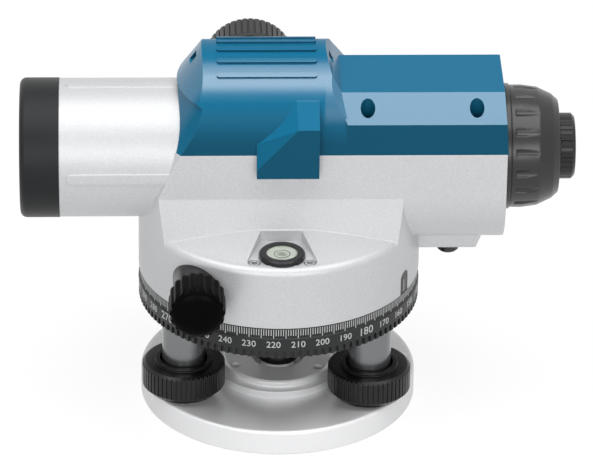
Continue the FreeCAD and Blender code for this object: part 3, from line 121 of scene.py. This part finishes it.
def dress(made, *names):
    """Gives CAD nodes a finish."""
    for name in names:
        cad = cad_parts[name]
        if not cad.material_slots:
            cad.data.materials.append(made)
        for place in cad.material_slots:
            place.material = made


# edges painted paler than the silver: wear, and a painted highlight along the edges
silver_paint = grained("silver_paint", (0.63, 0.636, 0.645), 0.36, metallic=0.18, grain=0.0006, depth=0.0001,
                       mottle=0.09, edge=0.0005, edge_wear_and_painted_shading=(0.88, 0.885, 0.89))
dress(silver_paint, "housing")

# ---------------------------------------------------------------------------------------------
# Top cover: moulded in petrol-blue plastic, spark-eroded satin, screwed down on the housing.
# Its sharp moulded edges are painted as thin pale lines, a painted highlight.  Sloping faces are glossier
# than the flat top and the gusset, and steep faces are painted darker, a painted shade.

# edges painted pale blue: a painted highlight along the moulded edges
cover_blue = grained("cover_blue", (0.005, 0.160, 0.300), 0.40, grain=0.0005, depth=0.00002, mottle=0.05,
                     edge=0.0002, edge_wear_and_painted_shading=(0.10, 0.32, 0.48), shine=0.10)
nodes, links = cover_blue.node_tree.nodes, cover_blue.node_tree.links
shader = nodes["Principled BSDF"]
facing = nodes.new("ShaderNodeNewGeometry")
split = nodes.new("ShaderNodeSeparateXYZ")
links.new(facing.outputs["Normal"], split.inputs["Vector"])
polish = nodes.new("ShaderNodeMapRange")
polish.inputs["From Min"].default_value = 0.25
polish.inputs["From Max"].default_value = 0.75
links.new(split.outputs["Z"], polish.inputs["Value"])

# the gusset lies in front of the first depth and left of the second, and stays matt
where = nodes.new("ShaderNodeTexCoord")
spread = nodes.new("ShaderNodeSeparateXYZ")
links.new(where.outputs["Object"], spread.inputs["Vector"])
behind = nodes.new("ShaderNodeMapRange")
behind.inputs["From Min"].default_value = -0.0235
behind.inputs["From Max"].default_value = -0.0190
links.new(spread.outputs["Y"], behind.inputs["Value"])
beside = nodes.new("ShaderNodeMapRange")
beside.inputs["From Min"].default_value = 0.0160
beside.inputs["From Max"].default_value = 0.0170
links.new(spread.outputs["X"], beside.inputs["Value"])
either = nodes.new("ShaderNodeMath")
either.operation = "MAXIMUM"
links.new(behind.outputs["Result"], either.inputs[0])
links.new(beside.outputs["Result"], either.inputs[1])
gloss = nodes.new("ShaderNodeMath")
gloss.operation = "MULTIPLY"
links.new(polish.outputs["Result"], gloss.inputs[0])
links.new(either.outputs["Value"], gloss.inputs[1])

# the flat top stays matt
level = nodes.new("ShaderNodeMapRange")
level.inputs["From Min"].default_value = 0.82
level.inputs["From Max"].default_value = 0.97
level.inputs["To Min"].default_value = 1.0
level.inputs["To Max"].default_value = 0.0
links.new(split.outputs["Z"], level.inputs["Value"])
tilted = nodes.new("ShaderNodeMath")
tilted.operation = "MULTIPLY"
links.new(gloss.outputs["Value"], tilted.inputs[0])
links.new(level.outputs["Result"], tilted.inputs[1])
links.new(tilted.outputs["Value"], shader.inputs["Coat Weight"])
shader.inputs["Coat Roughness"].default_value = 0.24
shader.inputs["Coat IOR"].default_value = 1.9

# steep and downward faces are painted darker: painted shade
steep_shade_mask = nodes.new("ShaderNodeMapRange")
steep_shade_mask.inputs["From Max"].default_value = 0.7
steep_shade_mask.inputs["To Min"].default_value = 1.0
steep_shade_mask.inputs["To Max"].default_value = 0.0
links.new(split.outputs["Z"], steep_shade_mask.inputs["Value"])
painted_shade_on_steep = nodes.new("ShaderNodeMix")
painted_shade_on_steep.data_type = "RGBA"
painted_shade_on_steep.blend_type = "MULTIPLY"
painted_shade_on_steep.inputs["B"].default_value = (0.85, 0.54, 0.52, 1)
links.new(steep_shade_mask.outputs["Result"], painted_shade_on_steep.inputs["Factor"])
links.new(shader.inputs["Base Color"].links[0].from_socket, painted_shade_on_steep.inputs["A"])
links.new(painted_shade_on_steep.outputs["Result"], shader.inputs["Base Color"])
dress(cover_blue, "top_cover")
cover_steel = grained("cover_steel", (0.10, 0.10, 0.11), 0.35, metallic=1.0, grain=0.0003, depth=0.00001,
                      edge=0.0001)
dress(cover_steel, "cover_screws")

# ---------------------------------------------------------------------------------------------
# Lens hood and objective: a satin black turned hood pushed into the tube, an anodised cell and
# a coated achromat held by a threaded ring.

# edges painted paler: wear, and a painted highlight along the rims
hood_black = grained("hood_black", (0.014, 0.015, 0.016), 0.42, grain=0.0005, depth=0.00002, mottle=0.15,
                     edge=0.0003, edge_wear_and_painted_shading=(0.06, 0.06, 0.065), shine=0.2)
dress(hood_black, "lens_hood")
inside_black = grained("inside_black", (0.014, 0.014, 0.015), 0.6, metallic=0.4, grain=0.0004, depth=0.00002,
                       mottle=0.15, edge=0.0002)
dress(inside_black, "objective_cell", "objective_ring", "focus_guide", "focus_cell", "compensator_frame",
      "pendulum", "reticle_cell", "eyepiece_tube", "eyepiece_cell", "housing_floor")


def clear_glass(name, tint, film, rough):
    """Polished glass; film is the thickness of its coating in nanometres."""
    made, nodes, links, shader = new_finish(name)
    place = nodes.new("ShaderNodeTexCoord")
    dust = nodes.new("ShaderNodeTexNoise")
    dust.inputs["Scale"].default_value = 900.0
    links.new(place.outputs["Object"], dust.inputs["Vector"])
    haze = nodes.new("ShaderNodeMapRange")
    haze.inputs["From Min"].default_value = 0.5
    haze.inputs["To Min"].default_value = rough
    haze.inputs["To Max"].default_value = rough + 0.03
    links.new(dust.outputs["Fac"], haze.inputs["Value"])
    links.new(haze.outputs["Result"], shader.inputs["Roughness"])
    shader.inputs["Base Color"].default_value = (*tint, 1)
    shader.inputs["Transmission Weight"].default_value = 1.0
    shader.inputs["IOR"].default_value = 1.52
    shader.inputs["Thin Film Thickness"].default_value = film
    shader.inputs["Thin Film IOR"].default_value = 1.38
    return made


coated_glass = clear_glass("coated_glass", (0.90, 0.97, 0.95), 420.0, 0.01)
dress(coated_glass, "objective_lens", "focus_lens", "compensator_prism", "reticle_disc", "eyepiece_lens")

# ---------------------------------------------------------------------------------------------
# Eyepiece end: an anodised flange, a moulded guard with scooped flutes for the fingers, and the
# ribbed ring that focuses the cross-hairs.

guard_black = grained("guard_black", (0.006, 0.0065, 0.007), 0.27, grain=0.0005, depth=0.00001, mottle=0.12,
                      edge=0.0010, shine=0.6)
dress(guard_black, "eyepiece_guard", "eyepiece_flange", "reticle_cap")
ring_black = grained("ring_black", (0.006, 0.006, 0.007), 0.28, grain=0.0005, depth=0.00001, mottle=0.12,
                     edge=0.0002, edge_wear_and_painted_shading=(0.05, 0.05, 0.055), shine=0.35)
dress(ring_black, "diopter_ring")

# ---------------------------------------------------------------------------------------------
# Focusing knob on the far side: black moulded, half gloss, coarse straight knurl.  It turns a
# steel pinion in a brass bush.

# ridge edges painted paler: a painted highlight along the knurl
knob_black = grained("knob_black", (0.004, 0.004, 0.005), 0.28, grain=0.0006, depth=0.00002, mottle=0.12,
                     edge=0.0003, edge_wear_and_painted_shading=(0.13, 0.13, 0.135), shine=0.35)
dress(knob_black, "focus_knob", "foot_knob_rear", "foot_knob_left", "foot_knob_right")
turned_brass = grained("turned_brass", (0.72, 0.53, 0.25), 0.28, metallic=1.0, grain=0.0004, depth=0.00001,
                       edge=0.0002)
dress(turned_brass, "focus_bush", "worm_wheel", "axis_bush", "foot_nuts")
turned_steel = grained("turned_steel", (0.56, 0.56, 0.56), 0.26, metallic=1.0, grain=0.0004, depth=0.00001,
                       edge=0.0002)
dress(turned_steel, "focus_pinion", "spindle", "spindle_retainer", "clutch_washer", "drive_shaft",
      "floor_screws", "spring_plate", "spring_plate_screws", "reticle_screw", "damper_magnet",
      "foot_spindle_rear", "foot_spindle_left", "foot_spindle_right")

# ---------------------------------------------------------------------------------------------
# Circular vial: a black cup pressed into the pocket, a clear domed window over pale liquid, the
# ring that the bubble is set to, and the bubble.  Two bright socket screws adjust it.

vial_black = grained("vial_black", (0.004, 0.004, 0.005), 0.20, grain=0.0005, depth=0.000005, mottle=0.1,
                     edge=0.0003, shine=0.4)
dress(vial_black, "vial_holder", "drive_bush_near", "drive_bush_far")
screw_bright = grained("screw_bright", (0.62, 0.63, 0.64), 0.22, metallic=1.0, grain=0.0003, depth=0.000005,
                       edge=0.0002)
dress(screw_bright, "vial_screws")


def alone(piece):
    """Selects one object and nothing else, and makes it the active one."""
    bpy.ops.object.select_all(action="DESELECT")
    piece.select_set(True)
    bpy.context.view_layer.objects.active = piece


def pick(piece, kind, wanted):
    """In edit mode, selects the vertices or faces that pass a test."""
    bpy.ops.mesh.select_mode(type=kind)
    bpy.ops.mesh.select_all(action="DESELECT")
    bpy.ops.object.mode_set(mode="OBJECT")
    mesh = piece.data
    place = piece.matrix_world
    if kind == "VERT":
        for v in mesh.vertices:
            v.select = wanted(place @ v.co)
    else:
        for f in mesh.polygons:
            f.select = wanted(place @ f.center, (place.to_3x3() @ f.normal).normalized())
    bpy.ops.object.mode_set(mode="EDIT")


def settle(piece, name, made, body, smooth=35):
    """Applies a new piece's modifiers and place, names it, and joins it to its body."""
    alone(piece)
    for modifier in list(piece.modifiers):
        bpy.ops.object.modifier_apply(modifier=modifier.name)
    bpy.ops.object.transform_apply(location=True, rotation=True, scale=True)
    bpy.ops.object.mode_set(mode="EDIT")
    bpy.ops.mesh.select_all(action="SELECT")
    bpy.ops.mesh.remove_doubles(threshold=0.000001)
    bpy.ops.mesh.normals_make_consistent(inside=False)
    bpy.ops.object.mode_set(mode="OBJECT")
    bpy.ops.object.shade_smooth_by_angle(angle=math.radians(smooth))
    piece.name = name
    piece.data.name = name
    piece.data.materials.clear()
    piece.data.materials.append(made)
    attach(piece, body)


glass_low, glass_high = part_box("vial_glass")
vial_x = (glass_low.x + glass_high.x) / 2
vial_y = (glass_low.y + glass_high.y) / 2
vial_radius = (glass_high.x - glass_low.x) / 2
window_thickness = 0.0007
window_share = 0.9
ring_height = glass_high.z - window_thickness
upward_face = 0.9

liquid_gap = 0.00005
liquid_depth = glass_high.z - glass_low.z - window_thickness
liquid_rim = 0.0004
liquid_slope = 0.0005
liquid_drop = 0.00015
bpy.ops.object.select_all(action="DESELECT")
bpy.ops.mesh.primitive_cylinder_add(vertices=64, radius=vial_radius - liquid_gap, depth=liquid_depth,
                                    location=(vial_x, vial_y, glass_low.z + liquid_depth / 2))
liquid = bpy.context.object
bpy.ops.object.mode_set(mode="EDIT")
pick(liquid, "FACE", lambda middle, normal: normal.z > upward_face)
bpy.ops.mesh.inset(thickness=liquid_rim, depth=0.0)
bpy.ops.mesh.inset(thickness=liquid_slope, depth=-liquid_drop)
bpy.ops.object.mode_set(mode="OBJECT")
vial_pale = grained("vial_pale", (0.66, 0.69, 0.62), 0.25, grain=0.0009, depth=0.000002, mottle=0.03,
                    edge=0.0001)
settle(liquid, "vial_liquid", vial_pale, "housing")

target_radius = 0.0030
target_wire = 0.00016
target_place = (vial_x, vial_y, ring_height - 0.0001)
target_flatness = 0.5
bpy.ops.object.select_all(action="DESELECT")
bpy.ops.mesh.primitive_torus_add(major_segments=72, minor_segments=8, major_radius=target_radius,
                                 minor_radius=target_wire, location=target_place)
target = bpy.context.object
bpy.ops.object.mode_set(mode="EDIT")
bpy.ops.mesh.select_all(action="SELECT")
bpy.ops.transform.resize(value=(1, 1, target_flatness), center_override=target_place)
bpy.ops.object.mode_set(mode="OBJECT")
settle(target, "vial_target_ring", vial_black, "housing")

bubble_radius = 0.0019
bubble_flatness = 0.2
bubble_place = (vial_x, vial_y, ring_height - 0.0002)
bpy.ops.object.select_all(action="DESELECT")
bpy.ops.mesh.primitive_uv_sphere_add(segments=40, ring_count=20, radius=bubble_radius, location=bubble_place)
bubble = bpy.context.object
bpy.ops.object.mode_set(mode="EDIT")
bpy.ops.mesh.select_all(action="SELECT")
bpy.ops.transform.resize(value=(1, 1, bubble_flatness), center_override=bubble_place)
bpy.ops.mesh.bisect(plane_co=bubble_place, plane_no=(0, 0, 1), clear_inner=True, use_fill=True)
bpy.ops.object.mode_set(mode="OBJECT")
bubble_shine = clear_glass("bubble_shine", (0.97, 0.99, 0.95), 0.0, 0.02)
settle(bubble, "vial_bubble", bubble_shine, "housing")

window_gap = 0.00002
window_depth = window_thickness * window_share
dome_step = 0.0014
dome_rise = 0.00008
on_axis = 0.0002
bpy.ops.object.select_all(action="DESELECT")
bpy.ops.mesh.primitive_cylinder_add(vertices=64, radius=vial_radius - window_gap, depth=window_depth,
                                    location=(vial_x, vial_y, ring_height + window_depth / 2))
window = bpy.context.object
bpy.ops.object.mode_set(mode="EDIT")
for step in range(3):
    pick(window, "FACE", lambda middle, normal: normal.z > upward_face and math.hypot(
        middle.x - vial_x, middle.y - vial_y) < on_axis)
    bpy.ops.mesh.inset(thickness=dome_step, depth=dome_rise / (step + 1))
bpy.ops.object.mode_set(mode="OBJECT")
window_clear = clear_glass("window_clear", (0.98, 1.0, 0.97), 0.0, 0.0)
settle(window, "vial_window", window_clear, "housing")
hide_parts("vial_glass")
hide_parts("vial_glass")

# ---------------------------------------------------------------------------------------------
# Index window: gloss black insert in the drum's lower edge, with the white index line that the
# horizontal circle is read against.

index_gloss = grained("index_gloss", (0.004, 0.004, 0.005), 0.15, grain=0.0005, depth=0.000003, mottle=0.1,
                      edge=0.0002, shine=0.35)
dress(index_gloss, "index_mark")
mark_white = grained("mark_white", (0.62, 0.63, 0.63), 0.45, grain=0.0004, depth=0.000004, mottle=0.04,
                     edge=0.00005)
index_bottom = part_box("index_mark")[0].z
index_turn = math.radians(-28.7)
index_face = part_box("horizontal_circle")[1].x - 0.0003
index_height = 0.0030
index_width = 0.00045
index_length = 0.0054
index_ink = 0.00006
bpy.ops.object.select_all(action="DESELECT")
bpy.ops.mesh.primitive_plane_add(size=1, rotation=(math.pi / 2, 0, index_turn + math.pi / 2), location=(
    index_face * math.cos(index_turn), index_face * math.sin(index_turn), index_bottom + index_height))
index_line = bpy.context.object
index_line.scale = (index_width, index_length, 1)
bpy.ops.object.mode_set(mode="EDIT")
bpy.ops.mesh.select_all(action="SELECT")
bpy.ops.mesh.extrude_region_move(TRANSFORM_OT_translate={"value": (
    index_ink * math.cos(index_turn), index_ink * math.sin(index_turn), 0)})
bpy.ops.object.mode_set(mode="OBJECT")
settle(index_line, "index_line", mark_white, "housing")

# ---------------------------------------------------------------------------------------------
# Horizontal circle: black moulded ring that is set by hand by its ribbed skirt.  Printed white
# graduations every degree, longer ones every five, and a number every ten.

circle_satin = grained("circle_satin", (0.014, 0.015, 0.016), 0.42, grain=0.0005, depth=0.00001, mottle=0.15,
                       edge=0.00025, edge_wear_and_painted_shading=(0.06, 0.06, 0.065), shine=0.35)
dress(circle_satin, "horizontal_circle")
circle_low, circle_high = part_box("horizontal_circle")
circle_radius = circle_high.x
scale_radius = circle_radius - 0.0004
first_mark = math.radians(126.6)
line_ink = 0.00005
line_top = circle_high.z - 0.0002
degree_end = circle_high.z - 0.0030
five_degree_end = circle_high.z - 0.0044


def graduation(width, top, bottom, count):
    """One line on the scale, repeated all the way round."""
    bpy.ops.object.select_all(action="DESELECT")
    bpy.ops.mesh.primitive_plane_add(size=1, rotation=(math.pi / 2, 0, first_mark + math.pi / 2), location=(
        scale_radius * math.cos(first_mark), scale_radius * math.sin(first_mark), (top + bottom) / 2))
    line = bpy.context.object
    line.scale = (width, top - bottom, 1)
    bpy.ops.object.transform_apply(location=True, rotation=True, scale=True)
    bpy.ops.object.mode_set(mode="EDIT")
    bpy.ops.mesh.select_all(action="SELECT")
    bpy.ops.mesh.extrude_region_move(TRANSFORM_OT_translate={"value": (
        line_ink * math.cos(first_mark), line_ink * math.sin(first_mark), 0)})
    bpy.ops.mesh.select_all(action="SELECT")
    bpy.ops.mesh.spin(steps=count, dupli=True, angle=math.tau, center=(0, 0, 0), axis=(0, 0, 1))
    bpy.ops.object.mode_set(mode="OBJECT")
    return line


short_lines = graduation(0.00030, line_top, degree_end, 360)
settle(short_lines, "degree_lines", mark_white, "circle")
long_lines = graduation(0.00032, degree_end, five_degree_end, 72)
settle(long_lines, "five_degree_lines", mark_white, "circle")

figure_size = 0.0038
quarter_size = 0.0047
figure_ink = 0.00006
figure_radius = circle_radius + 0.00001
figure_height = circle_low.z + 0.0060
figures = []
for number in range(0, 360, 10):
    around = first_mark - math.radians(number)
    bpy.ops.object.select_all(action="DESELECT")
    bpy.ops.object.text_add(rotation=(math.pi / 2, 0, around + math.pi / 2), location=(
        figure_radius * math.cos(around), figure_radius * math.sin(around), figure_height))
    figure = bpy.context.object
    figure.data.body = str(number)
    figure.data.size = quarter_size if number % 90 == 0 else figure_size
    figure.data.align_x = "CENTER"
    figure.data.align_y = "CENTER"
    figure.data.resolution_u = 3
    figure.data.extrude = figure_ink
    bpy.ops.object.convert(target="MESH")
    figures.append(bpy.context.object)
bpy.ops.object.select_all(action="DESELECT")
for figure in figures:
    figure.select_set(True)
bpy.context.view_layer.objects.active = figures[0]
bpy.ops.object.join()
settle(figures[0], "degree_numbers", mark_white, "circle")

# ---------------------------------------------------------------------------------------------
# Slow-motion knobs: one on each end of the worm's shaft, moulded in black with rounded flutes
# and a smooth domed end.  The flutes run out in the dome and leave a wavy rim.


def slow_motion_knob(node, sign):
    """A fluted skirt and a smooth domed end, in place of one plain knob."""
    low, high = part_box(node)
    middle = (low + high) / 2
    radius = (high.x - low.x) / 2
    inner = low.y if sign > 0 else high.y
    length = high.y - low.y
    skirt = length * 0.78
    flutes = 18
    flute_floor = 0.90
    flute_flank = 0.975
    outer_rim = ((0.0010, 0.96), (0.0006, 0.90))
    inner_rim = ((0.0004, 0.97), (0.0002, 0.90))
    end_face = 0.9
    bpy.ops.object.select_all(action="DESELECT")
    bpy.ops.mesh.primitive_cylinder_add(vertices=flutes * 4, radius=radius, depth=skirt,
                                        rotation=(math.pi / 2, 0, 0),
                                        location=(middle.x, inner + sign * skirt / 2, middle.z))
    knob = bpy.context.object
    bpy.ops.object.transform_apply(location=True, rotation=True, scale=True)
    bpy.ops.object.mode_set(mode="EDIT")

    def share(p):
        return (math.atan2(p.z - middle.z, p.x - middle.x) / math.tau * flutes) % 1

    pick(knob, "VERT", lambda p: abs(share(p) - 0.5) < 0.2)
    bpy.ops.transform.resize(value=(flute_floor, 1, flute_floor), center_override=middle)
    pick(knob, "VERT", lambda p: 0.2 < share(p) < 0.3 or 0.7 < share(p) < 0.8)
    bpy.ops.transform.resize(value=(flute_flank, 1, flute_flank), center_override=middle)
    for end, steps in ((sign, outer_rim), (-sign, inner_rim)):
        for along, size in steps:
            pick(knob, "FACE", lambda p, n: n.y * end > end_face)
            bpy.ops.mesh.extrude_region_move(TRANSFORM_OT_translate={"value": (0, end * along, 0)})
            bpy.ops.transform.resize(value=(size, 1, size), center_override=middle)
    bpy.ops.object.mode_set(mode="OBJECT")

    # the smooth domed end, which the flutes run into
    dome_radius = radius * 0.93
    dome_depth = 0.0020
    dome_middle = inner + sign * (skirt - 0.0005)
    rise = length - skirt - 0.0006
    dome_steps = ((0.22, 0.965), (0.30, 0.90), (0.24, 0.82), (0.14, 0.70), (0.08, 0.50), (0.02, 0.30))
    bpy.ops.object.select_all(action="DESELECT")
    bpy.ops.mesh.primitive_cylinder_add(vertices=48, radius=dome_radius, depth=dome_depth,
                                        rotation=(math.pi / 2, 0, 0),
                                        location=(middle.x, dome_middle, middle.z))
    dome = bpy.context.object
    bpy.ops.object.transform_apply(location=True, rotation=True, scale=True)
    bpy.ops.object.mode_set(mode="EDIT")
    pick(dome, "FACE", lambda p, n: n.y * sign > end_face)
    for along, size in dome_steps:
        bpy.ops.mesh.extrude_region_move(TRANSFORM_OT_translate={"value": (0, sign * rise * along, 0)})
        bpy.ops.transform.resize(value=(size, 1, size), center_override=middle)
    bpy.ops.object.mode_set(mode="OBJECT")
    alone(knob)
    dome.select_set(True)
    bpy.ops.object.join()
    soft = knob.modifiers.new("soft", "SUBSURF")
    soft.levels = 2
    soft.render_levels = 2
    settle(knob, node + "_moulded", drive_black, "drive_shaft", smooth=60)
    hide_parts(node)


drive_black = grained("drive_black", (0.0012, 0.0012, 0.0015), 0.30, grain=0.0006, depth=0.00001, mottle=0.1,
                      edge=0.0002, shine=0.03)
slow_motion_knob("drive_knob_near", -1)
slow_motion_knob("drive_knob_far", 1)

# ---------------------------------------------------------------------------------------------
# Levelling head: an anodised plate over the foot screws, with three sleeves for their nuts and a
# black hub in the middle.

head_black = grained("head_black", (0.006, 0.006, 0.007), 0.22, grain=0.0005, depth=0.000008, mottle=0.12,
                     edge=0.0003, edge_wear_and_painted_shading=(0.07, 0.07, 0.075), shine=0.4)
dress(head_black, "head_plate", "centre_hub")
sleeve_black = grained("sleeve_black", (0.20, 0.205, 0.21), 0.22, metallic=0.9, grain=0.0004, depth=0.000005,
                       mottle=0.06, edge=0.0002)
dress(sleeve_black, "nut_sleeve_rear", "nut_sleeve_left", "nut_sleeve_right")

# ---------------------------------------------------------------------------------------------
# Base plate and collar: turned from light alloy and satin silver like the housing, but finer; painted much
# paler than the housing's silver, partly as painted light that makes up for the shade under the drum.
# The collar carries the tripod thread.

# colour much paler than the housing's: partly its own finish, partly painted light against the shade under
# the drum; edges painted a little darker
base_silver = grained("base_silver", (0.96, 0.963, 0.966), 0.38, metallic=0.22, grain=0.0006, depth=0.00002,
                      mottle=0.03, edge=0.0006, edge_wear_and_painted_shading=(0.86, 0.865, 0.87))
dress(base_silver, "base_plate", "centre_collar")

# ---------------------------------------------------------------------------------------------
# Studio: a white table that keeps a faint shadow, a white surround that lights the object only
# faintly, one large soft lamp overhead and a smaller one to each side of the front.


def seen_rays(nodes, links):
    """1 for the rays that show the studio: straight, mirrored or through glass."""
    rays = nodes.new("ShaderNodeLightPath")
    mirrored = nodes.new("ShaderNodeMath")
    mirrored.operation = "MAXIMUM"
    links.new(rays.outputs["Is Camera Ray"], mirrored.inputs[0])
    links.new(rays.outputs["Is Glossy Ray"], mirrored.inputs[1])
    either = nodes.new("ShaderNodeMath")
    either.operation = "MAXIMUM"
    links.new(mirrored.outputs["Value"], either.inputs[0])
    links.new(rays.outputs["Is Transmission Ray"], either.inputs[1])
    return either.outputs["Value"]


bpy.ops.object.select_all(action="DESELECT")
bpy.ops.mesh.primitive_plane_add(size=6, location=(0, 0, -0.0002))
table = bpy.context.object
table.name = "studio_table"
table_white, nodes, links, shader = new_finish("table_white")
nodes.remove(shader)
paper = nodes.new("ShaderNodeBsdfDiffuse")
where = nodes.new("ShaderNodeTexCoord")
split = nodes.new("ShaderNodeSeparateXYZ")
links.new(where.outputs["Object"], split.inputs["Vector"])
# the table's colour for bounced light fades from 0.88 in front to 0.25 behind: painted shade where the light
# falls off towards the back
painted_falloff_to_back = nodes.new("ShaderNodeMapRange")
painted_falloff_to_back.inputs["From Min"].default_value = -0.35
painted_falloff_to_back.inputs["From Max"].default_value = 0.35
painted_falloff_to_back.inputs["To Min"].default_value = 0.88
painted_falloff_to_back.inputs["To Max"].default_value = 0.25
links.new(split.outputs["Y"], painted_falloff_to_back.inputs["Value"])
links.new(painted_falloff_to_back.outputs["Result"], paper.inputs["Color"])
faint = nodes.new("ShaderNodeBsdfDiffuse")
faint.inputs["Color"].default_value = (0.20, 0.20, 0.20, 1)
glow = nodes.new("ShaderNodeEmission")
glow.inputs["Color"].default_value = (1, 1, 1, 1)
glow.inputs["Strength"].default_value = 0.86
seen = nodes.new("ShaderNodeAddShader")
links.new(faint.outputs["BSDF"], seen.inputs[0])
links.new(glow.outputs["Emission"], seen.inputs[1])
choose = nodes.new("ShaderNodeMixShader")
links.new(seen_rays(nodes, links), choose.inputs["Fac"])
links.new(paper.outputs["BSDF"], choose.inputs[1])
links.new(seen.outputs["Shader"], choose.inputs[2])
links.new(choose.outputs["Shader"], nodes["Material Output"].inputs["Surface"])
table.data.materials.append(table_white)

studio = bpy.data.worlds.new("studio")
bpy.context.scene.world = studio
studio.use_nodes = True
nodes, links = studio.node_tree.nodes, studio.node_tree.links
around = nodes.new("ShaderNodeTexCoord")
split = nodes.new("ShaderNodeSeparateXYZ")
links.new(around.outputs["Generated"], split.inputs["Vector"])
heights = nodes.new("ShaderNodeValToRGB")
heights.color_ramp.elements[0].position = 0.25
heights.color_ramp.elements[0].color = (0.22, 0.22, 0.23, 1)
heights.color_ramp.elements[1].position = 0.75
heights.color_ramp.elements[1].color = (0.08, 0.08, 0.085, 1)
halves = nodes.new("ShaderNodeMapRange")
halves.inputs["From Min"].default_value = -1.0
links.new(split.outputs["Y"], halves.inputs["Value"])
links.new(halves.outputs["Result"], heights.inputs["Fac"])
seen = nodes.new("ShaderNodeMix")
seen.data_type = "RGBA"
seen.inputs["B"].default_value = (1, 1, 1, 1)
links.new(seen_rays(nodes, links), seen.inputs["Factor"])
links.new(heights.outputs["Color"], seen.inputs["A"])
links.new(seen.outputs["Result"], nodes["Background"].inputs["Color"])


def soft_lamp(name, place, aim, size_x, size_y, watts):
    """A rectangular soft lamp that points at a place."""
    data = bpy.data.lights.new(name, "AREA")
    data.shape = "RECTANGLE"
    data.size = size_x
    data.size_y = size_y
    data.energy = watts
    lamp = bpy.data.objects.new(name, data)
    bpy.context.scene.collection.objects.link(lamp)
    lamp.location = place
    lamp.rotation_euler = (Vector(aim) - Vector(place)).to_track_quat("-Z", "Y").to_euler()


soft_lamp("overhead", (0.0, -0.125, 1.25), (0, 0, 0.08), 1.9, 1.13, 15.5)
soft_lamp("left_fill", (-0.42, -1.35, 0.50), (0, 0, 0.05), 0.6, 0.6, 4.2)
soft_lamp("right_fill", (0.42, -1.35, 0.50), (0, 0, 0.05), 0.6, 0.6, 4.2)

# ---------------------------------------------------------------------------------------------
# Camera: a long lens a little above the instrument and slightly towards its objective.

turn = math.radians(1.92)
rise = math.radians(28.52)
roll = math.radians(0.70)
distance = 2.017
aim_right = 0.00796
aim_up = 0.06089
across = Vector((math.cos(turn), -math.sin(turn), 0))
upward = Vector((math.sin(rise) * math.sin(turn), math.sin(rise) * math.cos(turn), math.cos(rise)))
back = Vector((-math.sin(turn) * math.cos(rise), -math.cos(turn) * math.cos(rise), math.sin(rise)))
right_side = across * math.cos(roll) + upward * math.sin(roll)
top_side = upward * math.cos(roll) - across * math.sin(roll)
spot = back * distance + right_side * aim_right + top_side * aim_up
lens = bpy.data.cameras.new("camera")
lens.lens = 307.7
lens.sensor_width = 36.0
lens.shift_x = -0.0015
lens.shift_y = -0.0099
lens.clip_start = 0.1
lens.clip_end = 50.0
camera = bpy.data.objects.new("camera", lens)
bpy.context.scene.collection.objects.link(camera)
camera.matrix_world = Matrix([[right_side[i], top_side[i], back[i], spot[i]] for i in range(3)]
                             + [[0, 0, 0, 1]])
bpy.context.scene.camera = camera
bpy.context.scene.view_settings.view_transform = "Standard"
